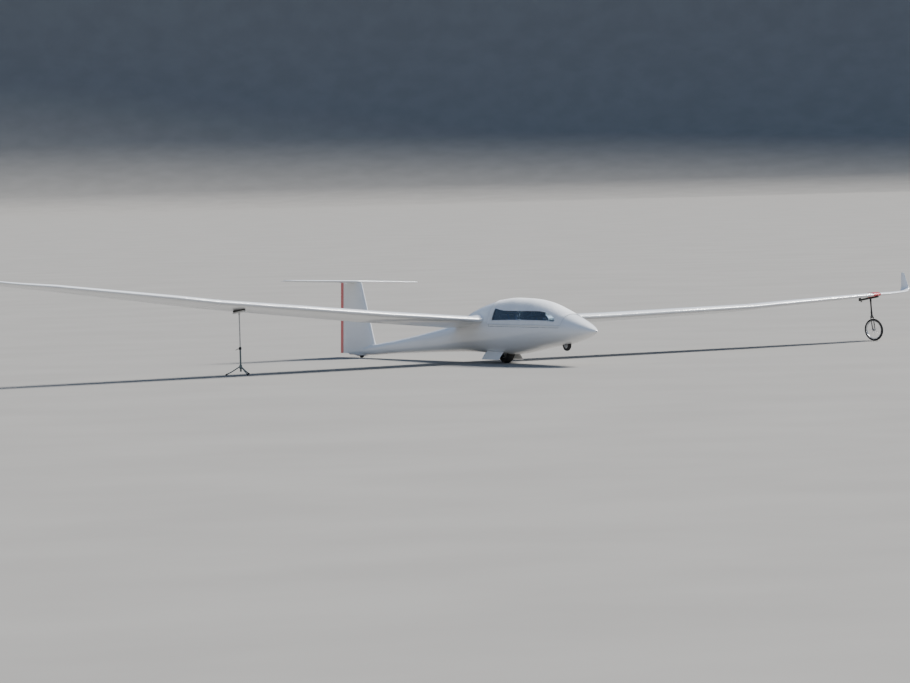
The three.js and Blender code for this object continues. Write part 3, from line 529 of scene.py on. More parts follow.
def block(bm: bmesh.types.BMesh, low: Sequence[float], high: Sequence[float], edge: float = 0.0,
          frame: Matrix | None = None) -> None:
    """Adds a box between two corners.

    Args:
        bm: the mesh that it is added to.
        low: its lowest corner.
        high: its highest corner.
        edge: how far its edges are rounded.
        frame: the frame in which the corners are given, if another than the mesh's own.
    """
    low, high = Vector(low), Vector(high)
    size = Matrix.Diagonal((*(high - low), 1.0))
    place = (frame or Matrix.Identity(4)) @ Matrix.Translation((low + high) / 2) @ size
    made = bmesh.ops.create_cube(bm, size=1.0, matrix=place)["verts"]
    if edge > 0:
        round_off(bm, list({rim for vert in made for rim in vert.link_edges}), edge)


def plate(
    bm: bmesh.types.BMesh,
    outline: Sequence[tuple[float, float]],
    x0: float,
    x1: float,
    edge: float = 0.0,
) -> None:
    """Adds a plate that is cut to an outline in the side view.

    Args:
        bm: the mesh that it is added to.
        outline: its corners, as (y, z).
        x0: where one of its faces lies.
        x1: where the other lies.
        edge: how far its edges are rounded.
    """
    flat = bm.faces.new([bm.verts.new((x0, y, z)) for y, z in outline])
    moved = of_kind(bmesh.ops.extrude_face_region(bm, geom=[flat])["geom"], bmesh.types.BMVert)
    bmesh.ops.translate(bm, vec=Vector((x1 - x0, 0.0, 0.0)), verts=moved)
    verts = set(flat.verts) | set(moved)
    faces = list({face for vert in verts for face in vert.link_faces})
    bmesh.ops.recalc_face_normals(bm, faces=faces)
    if edge > 0:
        rims = {rim for vert in verts for rim in vert.link_edges}
        round_off(bm, [rim for rim in rims if rim.calc_face_angle(0.0) > 0.6], edge)


def spun(bm: bmesh.types.BMesh, profile: Sequence[tuple[float, float]], steps: int = 96) -> None:
    """Adds a ring or disc spun about the X axis.

    Args:
        bm: the mesh that it is added to.
        profile: its closed outline, as (offset along X, radius).
        steps: faces round it.
    """
    verts = [bm.verts.new((offset, 0.0, radius)) for offset, radius in profile]
    edges = [bm.edges.new(pair) for pair in zip(verts, verts[1:] + verts[:1])]
    made = bmesh.ops.spin(
        bm, geom=verts + edges, cent=(0.0, 0.0, 0.0), axis=X_AXIS, angle=FULL_TURN, steps=steps, use_merge=True,
    )
    last = of_kind(made["geom_last"], bmesh.types.BMVert)
    bmesh.ops.remove_doubles(bm, verts=list(set(verts + last)), dist=MERGE)


def turned(bm: bmesh.types.BMesh, profile: Sequence[tuple[float, float]], foot: Vector) -> None:
    """Adds a ring or tube about an upright line through foot, by a profile of (height over it, radius)."""
    own = bmesh.new()
    spun(own, profile, 48)
    add_mesh(bm, own, Matrix.Translation(foot) @ Matrix.Rotation(-HALF_TURN / 2, 4, "Y"))


def pipe(bm: bmesh.types.BMesh, path: Sequence[Vector], radius: float, sides: int = 16,
         flat: float = 1.0, up: Vector = Z_AXIS) -> None:
    """Adds a tube or a flat strap along a path.

    Args:
        bm: the mesh that it is added to.
        path: its centreline.
        radius: half its width.
        sides: points round each section.
        flat: its thickness as a part of its width.
        up: the direction in which it is thin.
    """
    rings = []
    for index, here in enumerate(path):
        ahead = path[min(index + 1, len(path) - 1)] - path[max(index - 1, 0)]
        across = ahead.cross(up).normalized()
        over = across.cross(ahead).normalized()
        rings.append([
            here + across * (radius * math.cos(turn)) + over * (radius * flat * math.sin(turn))
            for turn in full_circle(sides)
        ])
    own = bmesh.new()
    skin(own, rings)
    close_ends(own)
    add_mesh(bm, own)


def add_mesh(bm: bmesh.types.BMesh, other: bmesh.types.BMesh, frame: Matrix | None = None) -> None:
    """Adds one mesh to another.

    Args:
        bm: the mesh that it is added to.
        other: the mesh that is added, with its faces turned outwards, and then freed.
        frame: what carries it there, if it isn't in place.
    """
    bmesh.ops.recalc_face_normals(other, faces=other.faces)
    if frame is not None:
        bmesh.ops.transform(other, matrix=frame, verts=other.verts)
    carried = bpy.data.meshes.new("carried")
    other.to_mesh(carried)
    other.free()
    bm.from_mesh(carried)
    bpy.data.meshes.remove(carried)


# Finishes


class Surface:
    """A material being mixed: its shader and the patterns that feed it, read in Object coordinates."""

    def __init__(self, name: str, **sockets: Any) -> None:
        """Starts a material, with plain values for the shader's sockets by name."""
        self.material = bpy.data.materials.new(name)
        self.material.use_nodes = True
        self.tree = self.material.node_tree
        self.shader = self.tree.nodes["Principled BSDF"]
        for socket, value in sockets.items():
            self.shader.inputs[socket.replace("_", " ").title().replace("Ior", "IOR")].default_value = value
        self.place = self.node("ShaderNodeTexCoord").outputs["Object"]

    def node(self, kind: str, **settings: Any) -> bpy.types.Node:
        """Adds a node and sets its properties."""
        made = self.tree.nodes.new(kind)
        for name, value in settings.items():
            setattr(made, name, value)
        return made

    def link(self, source: bpy.types.NodeSocket, target: bpy.types.NodeSocket) -> None:
        """Joins two sockets."""
        self.tree.links.new(source, target)

    def stretched(self, stretch: Sequence[float]) -> bpy.types.NodeSocket:
        """The place on the piece, with each axis scaled."""
        mapping = self.node("ShaderNodeMapping")
        mapping.inputs["Scale"].default_value = stretch
        self.link(self.place, mapping.inputs["Vector"])
        return mapping.outputs["Vector"]

    def noise(self, scale: float, detail: float = 3.0, rough: float = 0.5,
              stretch: Sequence[float] = (1.0, 1.0, 1.0)) -> bpy.types.NodeSocket:
        """A cloudy pattern from 0 to 1."""
        made = self.node("ShaderNodeTexNoise")
        made.inputs["Scale"].default_value = scale
        made.inputs["Detail"].default_value = detail
        made.inputs["Roughness"].default_value = rough
        self.link(self.stretched(stretch), made.inputs["Vector"])
        return made.outputs["Fac"]

    def wave(self, scale: float, direction: str, distortion: float = 0.0) -> bpy.types.NodeSocket:
        """Fine parallel ridges along one axis."""
        made = self.node("ShaderNodeTexWave", wave_type="BANDS", bands_direction=direction)
        made.inputs["Scale"].default_value = scale
        made.inputs["Distortion"].default_value = distortion
        self.link(self.place, made.inputs["Vector"])
        return made.outputs["Fac"]

    def sums(self, first: bpy.types.NodeSocket, second: bpy.types.NodeSocket,
             how: str = "ADD") -> bpy.types.NodeSocket:
        """Two patterns put together, added unless another operation is named."""
        made = self.node("ShaderNodeMath", operation=how)
        self.link(first, made.inputs[0])
        self.link(second, made.inputs[1])
        return made.outputs["Value"]

    def ramp(self, factor: bpy.types.NodeSocket, low: Colour, high: Colour,
             between: tuple[float, float] = (0.3, 0.7)) -> bpy.types.NodeSocket:
        """A colour that turns from low to high as the pattern passes between two values."""
        made = self.node("ShaderNodeValToRGB")
        for element, at, colour in zip(made.color_ramp.elements, between, (low, high)):
            element.position = at
            element.color = (*colour, 1.0)
        self.link(factor, made.inputs["Fac"])
        return made.outputs["Color"]

    def coloured(self, factor: bpy.types.NodeSocket, low: Colour, high: Colour,
                 between: tuple[float, float] = (0.3, 0.7)) -> None:
        """Colours the surface by a pattern."""
        self.link(self.ramp(factor, low, high, between), self.shader.inputs["Base Color"])

    def roughened(self, factor: bpy.types.NodeSocket, low: float, high: float) -> None:
        """Varies the roughness by a pattern."""
        made = self.node("ShaderNodeMapRange")
        made.inputs["To Min"].default_value = low
        made.inputs["To Max"].default_value = high
        self.link(factor, made.inputs["Value"])
        self.link(made.outputs["Result"], self.shader.inputs["Roughness"])

    def raised(self, height: bpy.types.NodeSocket, strength: float, distance: float) -> None:
        """Gives the surface a relief by a pattern."""
        made = self.node("ShaderNodeBump")
        made.inputs["Strength"].default_value = strength
        made.inputs["Distance"].default_value = distance
        self.link(height, made.inputs["Height"])
        self.link(made.outputs["Normal"], self.shader.inputs["Normal"])


@dataclass(frozen=True)
class Gloss:
    """A smooth glossy skin, such as polished gelcoat or paint, with a faint film of dust."""

    name: str
    slot: str
    clean: Colour
    dusty: Colour
    rough: tuple[float, float] = (0.12, 0.22)

    def mix(self) -> bpy.types.Material:
        """Mixes the material."""
        surface = Surface(self.name, coat_weight=0.35, coat_roughness=0.06, ior=1.5)
        film = surface.noise(1.4, 5.0, 0.62, (1.0, 0.6, 2.2))
        surface.coloured(film, self.dusty, self.clean, (0.25, 0.6))
        surface.roughened(surface.noise(3.0, 4.0), *self.rough)
        surface.raised(surface.noise(2.2, 1.0), 0.12, 0.004)
        return surface.material


@dataclass(frozen=True)
class Cloth:
    """A woven cloth, with its threads as relief and soft creases as shade."""

    name: str
    slot: str
    light: Colour
    shade: Colour
    threads: float = 420.0
    sheen: float = 0.25

    def mix(self) -> bpy.types.Material:
        """Mixes the material."""
        surface = Surface(self.name, roughness=0.82, sheen_weight=self.sheen, sheen_roughness=0.4)
        surface.coloured(surface.noise(5.0, 6.0, 0.6), self.shade, self.light, (0.3, 0.62))
        weave = surface.sums(surface.wave(self.threads, "Y"), surface.wave(self.threads, "Z"), "MULTIPLY")
        surface.raised(surface.sums(weave, surface.noise(26.0, 4.0)), 0.35, 0.0012)
        return surface.material


@dataclass(frozen=True)
class Metal:
    """A bare or anodised metal with fine brushing."""

    name: str
    slot: str
    bright: Colour
    dull: Colour
    rough: tuple[float, float] = (0.25, 0.42)

    def mix(self) -> bpy.types.Material:
        """Mixes the material."""
        surface = Surface(self.name, metallic=1.0)
        stains = surface.noise(30.0, 5.0, 0.6)
        surface.coloured(stains, self.dull, self.bright, (0.3, 0.65))
        surface.roughened(surface.noise(90.0, 3.0), *self.rough)
        surface.raised(surface.noise(400.0, 2.0, 0.5, (0.1, 1.0, 1.0)), 0.15, 0.0004)
        return surface.material


@dataclass(frozen=True)
class Coated:
    """A dull coating, such as powder paint, moulded plastic or rubber, with a fine grain and scuffs."""

    name: str
    slot: str
    main: Colour
    scuffed: Colour
    rough: tuple[float, float] = (0.45, 0.65)
    grain: float = 600.0
    relief: float = 0.25

    def mix(self) -> bpy.types.Material:
        """Mixes the material."""
        surface = Surface(self.name, ior=1.48)
        surface.coloured(surface.noise(14.0, 6.0, 0.68), self.main, self.scuffed, (0.52, 0.8))
        surface.roughened(surface.noise(40.0, 3.0), *self.rough)
        surface.raised(surface.noise(self.grain, 2.0), self.relief, 0.0005)
        return surface.material


@dataclass(frozen=True)
class Clear:
    """Clear acrylic with a slight cool tint."""

    name: str
    slot: str
    tint: Colour

    def mix(self) -> bpy.types.Material:
        """Mixes the material."""
        surface = Surface(self.name, transmission_weight=1.0, roughness=0.02, ior=1.49, base_color=(*self.tint, 1.0))
        surface.raised(surface.noise(3.0, 1.0), 0.03, 0.002)
        return surface.material


class Finish(Enum):
    """Every finish on the sailplane."""

    GELCOAT = Gloss("white gelcoat", "gelcoat_white", (0.80, 0.815, 0.83), (0.74, 0.755, 0.765))
    TAPE = Gloss("white seal tape", "gelcoat_white", (0.78, 0.79, 0.80), (0.70, 0.71, 0.71), (0.3, 0.42))
    RED = Gloss("red paint", "paint_red", (0.60, 0.045, 0.06), (0.52, 0.06, 0.07), (0.2, 0.32))
    GLASS = Clear("canopy acrylic", "canopy_glass", (0.72, 0.83, 0.90))
    COVER = Cloth("cover cloth", "cover_cloth", (0.80, 0.815, 0.83), (0.72, 0.74, 0.76))
    HEM = Cloth("cover binding", "cover_cloth", (0.66, 0.69, 0.72), (0.56, 0.59, 0.62), 900.0)
    RUBBER = Coated("tyre rubber", "tyre_rubber", (0.018, 0.018, 0.019), (0.05, 0.047, 0.042), (0.7, 0.88))
    ALLOY = Metal("cast alloy", "wheel_alloy", (0.68, 0.69, 0.70), (0.48, 0.49, 0.50))
    STEEL = Metal("plated steel", "bare_steel", (0.50, 0.51, 0.51), (0.33, 0.34, 0.34), (0.3, 0.5))
    TUBE = Coated("grey-green tube paint", "tube_paint", (0.16, 0.19, 0.18), (0.24, 0.26, 0.25), (0.4, 0.6))
    BLACK = Coated("black plastic", "black_plastic", (0.014, 0.014, 0.015), (0.035, 0.035, 0.036), (0.42, 0.6))
    LINING = Coated("cockpit lining", "seat_trim", (0.045, 0.058, 0.090), (0.07, 0.085, 0.12), (0.5, 0.7), 900.0, 0.5)
    SEAT = Cloth("seat cloth", "seat_trim", (0.055, 0.075, 0.12), (0.035, 0.05, 0.085), 700.0, 0.5)
    WEBBING = Cloth("harness webbing", "seat_trim", (0.05, 0.09, 0.22), (0.03, 0.06, 0.15), 1400.0, 0.3)
    PADDING = Cloth("black padding", "black_plastic", (0.020, 0.020, 0.021), (0.012, 0.012, 0.013), 800.0, 0.15)
    DIAL = Coated("dial face", "black_plastic", (0.008, 0.008, 0.009), (0.012, 0.012, 0.013), (0.25, 0.35))
    MARK = Coated("dial marks", "gelcoat_white", (0.75, 0.75, 0.72), (0.68, 0.68, 0.65), (0.5, 0.6))


class Workshop:
    """Finishes meshes: carries them into the shared frame, dresses them and hangs them on their body."""

    def __init__(self, frame: dict[str, Any], main_axle: Vector) -> None:
        """Reads from the frame how the airframe stands.

        Args:
            main_axle: the middle of the main wheel's axle in the airframe's own frame.
        """
        self.nodes = frame["nodes"]
        self.joints = {joint["name"]: joint for joint in frame["joints"]}
        spin = self.joints["main_wheel_spin"]
        across = Vector(spin["axis"])
        lean = Matrix.Rotation(math.atan2(-across.z, across.x), 4, "Y")
        shift = Vector(spin["pos_m"]) - lean @ main_axle
        self.airframe = Matrix.Translation(shift) @ lean
        self.mixed: dict[Finish, bpy.types.Material] = {}

    def material(self, finish: Finish) -> bpy.types.Material:
        """The material of a finish, mixed once."""
        if finish not in self.mixed:
            self.mixed[finish] = finish.value.mix()
        return self.mixed[finish]

    def wheel_frame(self, joint: str) -> Matrix:
        """A wheel's own frame: its middle at the origin, X along its axle, Z as upright as it can be."""
        across = Vector(self.joints[joint]["axis"]).normalized()
        behind = Z_AXIS.cross(across).normalized()
        return frame_at(self.joints[joint]["pos_m"], across, behind, across.cross(behind))

    def piece(
        self,
        name: str,
        bm: bmesh.types.BMesh,
        finish: Finish,
        body: str = "airframe",
        replaces: Iterable[str] = (),
        frame: Matrix | None = None,
        sharp: float = 32.0,
        others: Sequence[Finish] = (),
    ) -> bpy.types.Object:
        """Makes a finished piece of a mesh.

        Args:
            name: the piece's name.
            bm: its mesh, which is freed.
            finish: its finish, for faces of material slot 0.
            body: the body that it rides on.
            replaces: the nodes that it stands for.
            frame: what carries the mesh into the shared frame; the airframe's lean if none is given.
            sharp: the angle in degrees over which an edge is drawn sharp.
            others: finishes of the further material slots.

        Returns:
            The finished object, at the origin.
        """
        bmesh.ops.recalc_face_normals(bm, faces=bm.faces)
        bmesh.ops.transform(bm, matrix=self.airframe if frame is None else frame, verts=bm.verts)
        mesh = bpy.data.meshes.new(name)
        bm.to_mesh(mesh)
        bm.free()
        mesh.shade_smooth()
        mesh.set_sharp_from_angle(angle=math.radians(sharp))
        for used in (finish, *others):
            mesh.materials.append(self.material(used))
        made = bpy.data.objects.new(name, mesh)
        bpy.context.scene.collection.objects.link(made)
        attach(made, body)
        if replaces:
            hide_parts(*replaces)
        LOG.info("%s: %d faces on %s", name, len(mesh.polygons), body)
        return made


# Fuselage and canopy


def height_on(y: float, x: float, out: float = 0.0) -> float:
    """Reads the fuselage's upper skin.

    Args:
        y: a station.
        x: the offset from the middle there.
        out: how far outside the skin the height is read.

    Returns:
        The skin's height.
    """
    top, _, half, wide = HULL.sizes(min(y, BOOM_END))
    share = min(abs(x) / (half + out), 0.999)
    return wide + (top - wide + out) * (1 - share ** HULL_EXPONENT) ** (1 / HULL_EXPONENT)


def recess(
    bm: bmesh.types.BMesh,
    low: tuple[float, float],
    high: tuple[float, float],
    roof: float,
    finish: int = 0,
) -> None:
    """Sinks a box with a flat roof into the underside of a skin.

    Args:
        bm: the mesh.
        low: its lowest x and y.
        high: its highest x and y.
        roof: height of its roof.
        finish: the material slot of its walls.
    """
    margin = 0.12  # round the opening, in which faces may be cut

    def underside(y: float) -> float:
        """The height under which the skin is its underside, at a station."""
        return min(roof, HULL.sizes(y)[3])

    def inside(place: Vector, slack: float) -> bool:
        """Whether a place of the underside lies in the opening, grown by a slack."""
        return (
            place.z < underside(place.y)
            and low[0] - slack < place.x < high[0] + slack
            and low[1] - slack < place.y < high[1] + slack
        )

    for corner in (low, high):
        for place, normal in (((corner[0], 0.0, 0.0), X_AXIS), ((0.0, corner[1], 0.0), Y_AXIS)):
            score(bm, Vector(place), normal, lambda middle: inside(middle, margin))
    cut_away(bm, lambda middle: inside(middle, JUST_IN))
    made = wall_from_rim(bm, lambda place: inside(place, JUST_OUT))
    for vert in of_kind(made, bmesh.types.BMVert):
        vert.co.z = roof
    lid = [edge for edge in of_kind(made, bmesh.types.BMEdge) if edge.is_boundary]
    made += bmesh.ops.edgeloop_fill(bm, edges=lid)["faces"]
    for face in of_kind(made, bmesh.types.BMFace):
        face.material_index = finish


@dataclass
class Fuselage:
    """The pod with its hollow cockpit, the tail boom and the wing root fairings, as one smooth shell."""

    shop: Workshop
    facets: int = 96
    wall: float = 0.020
    sill: float = 0.655
    mouth: tuple[float, float] = (0.780, 2.950)
    cavity: tuple[float, float] = (0.430, 2.985)
    bay_wall: float = 0.012
    nose_hole: tuple[float, float, float] = (0.610, 0.010, 0.070)
    nose_bay: tuple[float, float, float, float] = (0.044, 0.795, 1.035, 0.476)
    main_bay: tuple[float, float, float, float] = (0.125, 2.640, 3.290, 0.436)
    tail_bay: tuple[float, float, float, float] = (0.032, 7.738, 7.962, 0.214)
    root_growth: tuple[tuple[float, float], ...] = (
        (0.150, 0.038), (0.250, 0.026), (0.310, 0.017), (0.340, 0.009), (0.370, 0.003), (0.3997, 0.0),
    )

    def stations(self) -> list[float]:
        """Stations of the outer skin, close together at the nose."""
        nose = [0.6 * (step / 24) ** 2 for step in range(25)]
        return nose + spread(0.66, 8.22, 126) + [BOOM_END]

    def opened(self, bm: bmesh.types.BMesh) -> None:
        """Cuts the cockpit's mouth out of a skin."""
        front, rear = self.mouth

        def above(middle: Vector) -> bool:
            """Whether a face may be crossed by the mouth's edge."""
            return middle.z > self.sill - 0.1 and front - 0.2 < middle.y < rear + 0.2

        score(bm, Vector((0.0, 0.0, self.sill)), Z_AXIS, above)
        for y in self.mouth:
            score(bm, Vector((0.0, y, 0.0)), Y_AXIS, above)
        cut_away(bm, lambda middle: middle.z > self.sill and front < middle.y < rear)

    def shell(self) -> bmesh.types.BMesh:
        """The outer skin, with the nose hole, the wheel bays and the cockpit's mouth."""
        z, radius, depth = self.nose_hole
        hole = [
            [
                Vector((radius * math.cos(turn), y, z + radius * math.sin(turn)))
                for turn in full_circle(self.facets)
            ]
            for y in (depth, 0.0)
        ]
        bm = bmesh.new()
        skin(bm, hole + [HULL.ring(y, self.facets) for y in self.stations()])
        close_ends(bm)
        for half, front, rear, roof in (self.nose_bay, self.main_bay, self.tail_bay):
            recess(bm, (-half, front), (half, rear), roof, 1)
        self.opened(bm)
        return bm

    def liner(self) -> bmesh.types.BMesh:
        """The cockpit's inner skin, raised over the wheel bays."""
        front, rear = self.cavity
        half, bay_front, _, bay_top = self.main_bay
        step = bay_front - self.wall
        floor = bay_top + self.wall
        rings = []
        for y in spread(front, step - 0.001, 36) + spread(step + 0.001, rear, 6):
            ring = HULL.ring(y, self.facets, -self.wall)
            for place in ring:
                place.z = max(place.z, floor if y > step else 0.0)
            rings.append(ring)
        bm = bmesh.new()
        skin(bm, rings, finish=1)
        close_ends(bm)
        half, bay_front, bay_rear, bay_top = self.nose_bay
        grown = self.bay_wall
        recess(bm, (-half - grown, bay_front - grown), (half + grown, bay_rear + grown), bay_top + grown, 1)
        self.opened(bm)
        for face in bm.faces:
            face.material_index = 1
        return bm

    def root_fairing(self, side: Side) -> bmesh.types.BMesh:
        """The flared stub that carries the wing into the fuselage.

        Args:
            side: the side of the aircraft.

        Returns:
            The stub's mesh.
        """
        rings = []
        for x, grow in self.root_growth:
            chord = wing_chord(side, WING_ROOT, grow)
            ring = full_ring(chord)
            for place in ring:
                place.x = side.value * x
            rings.append(ring)
        return lofted(rings)

    def build(self) -> None:
        """Builds the whole shell."""
        bm = self.shell()
        outer_rim = [edge for edge in bm.edges if edge.is_boundary]
        marks = bm.verts.layers.int.new("rim")
        for edge in outer_rim:
            for vert in edge.verts:
                vert[marks] = 1
        liner = self.liner()
        carried = bpy.data.meshes.new("liner")
        liner.to_mesh(carried)
        liner.free()
        bm.from_mesh(carried)
        bpy.data.meshes.remove(carried)
        rims = [edge for edge in bm.edges if edge.is_boundary]
        bmesh.ops.bridge_loops(bm, edges=rims)
        bmesh.ops.recalc_face_normals(bm, faces=bm.faces)
        for side in Side:
            add_mesh(bm, self.root_fairing(side))
        self.shop.piece(
            "fuselage_shell", bm, Finish.GELCOAT, replaces=("fuselage_pod", "tail_boom"), others=(Finish.LINING,),
            sharp=28.0,
        )


@dataclass
class Canopy:
    """The hinged canopy: its rim, its bubble, and the fitted cover with side windows and bound edges."""

    shop: Workshop
    front: float = 0.785
    rear: float = 2.945
    sill: float = 0.660
    band: float = 0.735
    arch: float = 0.062
    rim_thick: float = 0.030
    glass_inset: float = 0.004
    glass_thick: float = 0.004
    cover_lap: float = 0.048  # over the gaps at its front and rear
    cover_hem: float = 0.702
    cover_proud: float = 0.0048
    cover_thick: float = 0.0015
    cover_ripple: float = 0.0042
    window_foot: tuple[tuple[float, float], ...] = (
        (0.925, 0.783), (0.935, 0.771), (0.960, 0.764), (1.130, 0.776), (2.040, 0.779), (2.850, 0.762),
    )
    window_head: tuple[tuple[float, float], ...] = (
        (0.925, 0.801), (0.955, 0.830), (1.110, 0.900), (1.290, 0.938), (1.450, 0.950), (2.440, 0.948),
        (2.850, 0.985),
    )
    steps: int = 108
    cover_columns: tuple[int, int, int] = (4, 10, 44)  # below its window, over the window's height, over the crown

    def patch(
        self,
        ys: Sequence[float],
        lines: Callable[[float], Sequence[float]],
        counts: Sequence[int],
        out: float,
        ripple: float = 0.0,
    ) -> tuple[bmesh.types.BMesh, list[Ring]]:
        """A sheet over the hull, whose columns follow lines of height on both sides.

        Args:
            ys: its stations.
            lines: gives the heights of the lines at a station, from the lowest up.
            counts: columns between each line and the next; the last count is for the crown.
            out: how far outside the hull it lies.
            ripple: depth of its soft folds.

        Returns:
            The sheet, and its points by row and column.
        """
        bm = bmesh.new()
        rings = []
        for y in ys:
            marks = [HULL.turn_at(y, z, out) for z in lines(y)]
            turns = []
            for low, high, count in zip(marks, marks[1:], counts):
                turns += spread(low, high, count)[:-1]
            crown = counts[-1]
            turns += spread(marks[-1], HALF_TURN - marks[-1], crown)
            turns += [HALF_TURN - turn for turn in reversed(turns[: len(turns) - crown - 1])]
            ring = []
            for turn in turns:
                place = HULL.point(y, turn, out)
                if ripple:
                    outward = (place - Vector((0.0, y, 0.6))).normalized()
                    fold = noise.noise(Vector((place.x * 5.0, y * 2.6, place.z * 7.0)))
                    fine = noise.noise(Vector((place.x * 21.0 + 9.0, y * 13.0, place.z * 16.0)))
                    place = place + outward * (ripple * (0.75 * fold + 0.25 * fine))
                ring.append(place)
            rings.append(ring)
        skin(bm, rings, closed=False)
        return bm, rings

    def thicken(self, bm: bmesh.types.BMesh, thick: float) -> None:
        """Gives an open sheet a thickness towards the cockpit.

        Args:
            bm: the sheet.
            thick: its thickness.
        """
        bmesh.ops.recalc_face_normals(bm, faces=bm.faces)
        sample = max(bm.faces, key=lambda face: face.calc_center_median().z)
        if sample.normal.z < 0:
            bmesh.ops.reverse_faces(bm, faces=bm.faces)
        bmesh.ops.solidify(bm, geom=bm.faces, thickness=thick)

    def rim(self) -> None:
        """The rim: a band along each sill and an arch at each end."""
        start, end = self.front + self.arch, self.rear - self.arch
        ys = spread(self.front, start, 4) + spread(start, end, 64)[1:] + spread(end, self.rear, 4)[1:]
        bm, _ = self.patch(ys, lambda y: (self.sill, self.band), (4, 56), 0.0)
        cut_away(bm, lambda middle: start < middle.y < end and middle.z > self.band)
        self.thicken(bm, self.rim_thick)
        self.shop.piece("canopy_rim", bm, Finish.GELCOAT, "canopy", ("canopy_frame",))

    def bubble(self) -> None:
        """The clear bubble in the rim."""
        trim = self.arch + GAP
        ys = spread(self.front + trim, self.rear - trim, self.steps)
        bm, _ = self.patch(ys, lambda y: (self.band + GAP,), (72,), -self.glass_inset)
        self.thicken(bm, self.glass_thick)
        self.shop.piece("canopy_bubble", bm, Finish.GLASS, "canopy", ("canopy_glass",))

    def foot(self, y: float) -> float:
        """Height of the window's lower edge."""
        return self.line(self.window_foot, y)

    def head(self, y: float) -> float:
        """Height of the window's upper edge."""
        return self.line(self.window_head, y)

    @staticmethod
    def line(points: Sequence[tuple[float, float]], y: float) -> float:
        """Reads a smooth line in the side view, level beyond its ends.

        Args:
            points: the line's points, as (y, z).
            y: a station.

        Returns:
            The line's height there.
        """
        if y <= points[0][0]:
            return points[0][1]
        if y >= points[-1][0]:
            return points[-1][1]
        last = len(points) - 1
        index = next(place for place in range(last) if y <= points[place + 1][0])
        (y0, z0), (y1, z1) = points[index], points[index + 1]
        slopes = []
        for place in (index, index + 1):
            (before, low), (after, high) = points[max(place - 1, 0)], points[min(place + 1, last)]
            slopes.append((high - low) / (after - before) * (y1 - y0))
        share = (y - y0) / (y1 - y0)
        steady = share * share * (3 - 2 * share)
        bend = share * (1 - share) * (slopes[0] * (1 - share) - slopes[1] * share)
        return blend(z0, z1, steady) + bend

    def cover(self) -> None:
        """The fitted cover, open at its side windows, with bound edges."""
        start, end = self.front - self.cover_lap, self.rear + self.cover_lap
        first, last = self.window_foot[0][0], self.window_foot[-1][0]
        ys = spread(start, first, 8) + spread(first, 1.14, 18)[1:] + spread(1.14, last, 84)[1:]
        ys += spread(last, end, 5)[1:]
        bm, rings = self.patch(
            ys, lambda y: (self.cover_hem, self.foot(y), self.head(y)), self.cover_columns, self.cover_proud,
            self.cover_ripple,
        )
        cut_away(
            bm, lambda middle: first < middle.y < last and self.foot(middle.y) < middle.z < self.head(middle.y),
        )
        self.thicken(bm, self.cover_thick)
        sheet = self.shop.piece("canopy_cloth_cover", bm, Finish.COVER, "canopy", ("canopy_cover",), sharp=60.0)
        binding = self.binding(rings, [index for index, y in enumerate(ys) if first - MERGE <= y <= last + MERGE])

    def binding(self, rings: Sequence[Ring], inner: Sequence[int]) -> bpy.types.Object:
        """The folded binding round the hem and both windows.

        Args:
            rings: the cover's points by row and column.
            inner: the rows that its windows reach over.

        Returns:
            The binding's object.
        """
        low, high = self.cover_columns[0], sum(self.cover_columns[:2])
        across = len(rings[0]) - 1
        loops = []
        for foot, head, step in ((low, high, 1), (across - low, across - high, -1)):
            rear = [rings[inner[-1]][column] for column in range(foot, head + step, step)]
            front = [rings[inner[0]][column] for column in range(head, foot - step, -step)]
            under, over = ([rings[index][column] for index in inner] for column in (foot, head))
            loops.append(under + rear[1:-1] + over[::-1] + front[1:-1])
        hem, far_hem = ([ring[column] for ring in rings] for column in (0, -1))
        loops.append(hem + rings[-1][1:-1] + far_hem[::-1] + rings[0][1:-1][::-1])
        bm = bmesh.new()
        for loop in loops:
            self.bind(bm, loop)
        return self.shop.piece("canopy_cover_binding", bm, Finish.HEM, "canopy", sharp=60.0)

    def bind(self, bm: bmesh.types.BMesh, loop: Ring, width: float = 0.008, thick: float = 0.0022) -> None:
        """Adds a flat binding round a closed loop on the cover.

        Args:
            bm: the mesh that it is added to.
            loop: the loop's points.
            width: half its width.
            thick: half its thickness.
        """
        sections = []
        count = len(loop)
        for index, here in enumerate(loop):
            ahead = (loop[(index + 1) % count] - loop[index - 1]).normalized()
            outward = Vector((here.x, 0.0, (here.z - 0.60) * 1.2)).normalized()
            across = ahead.cross(outward).normalized()
            lift = here + outward * 0.0004
            sections.append([
                lift + across * (width * math.cos(turn)) + outward * (thick * math.sin(turn))
                for turn in full_circle(10)
            ])
        own = bmesh.new()
        skin(own, sections + sections[:1])
        bmesh.ops.remove_doubles(own, verts=own.verts, dist=MERGE)
        add_mesh(bm, own)

    def build(self) -> None:
        """Builds the canopy."""
        self.rim()
        self.bubble()
        self.cover()


# Wings and tail


def lead_spaced(count: int) -> list[float]:
    """Shares of a length from 0 to 1, close together at 0."""
    return [1 - math.cos(HALF_TURN / 2 * step / count) for step in range(count + 1)]


FRONT_STEPS, TAIL_STEPS = 22, 10


def front_path(chord: Chord, end: float, off: float = 0.0) -> Ring:
    """The outline from the upper side at a share of the chord, round the leading edge, to the lower side."""
    shares = [end * share for share in lead_spaced(FRONT_STEPS)]
    upper = [chord.at(u, 1, off) for u in reversed(shares)]
    return upper + [chord.at(u, -1, off) for u in shares[1:]]


def tail_path(chord: Chord, start: float, end: float = 1.0) -> Ring:
    """The outline from the lower side at start, round the trailing edge, to the upper side, without its ends."""
    lower = [chord.at(u, -1) for u in spread(start, end, TAIL_STEPS)]
    upper = [chord.at(u, 1) for u in spread(end, start, TAIL_STEPS)]
    return lower[1:] + upper[:-1]


def full_ring(chord: Chord, start: float = 0.7) -> Ring:
    """A whole aerofoil outline."""
    return front_path(chord, start) + tail_path(chord, start)


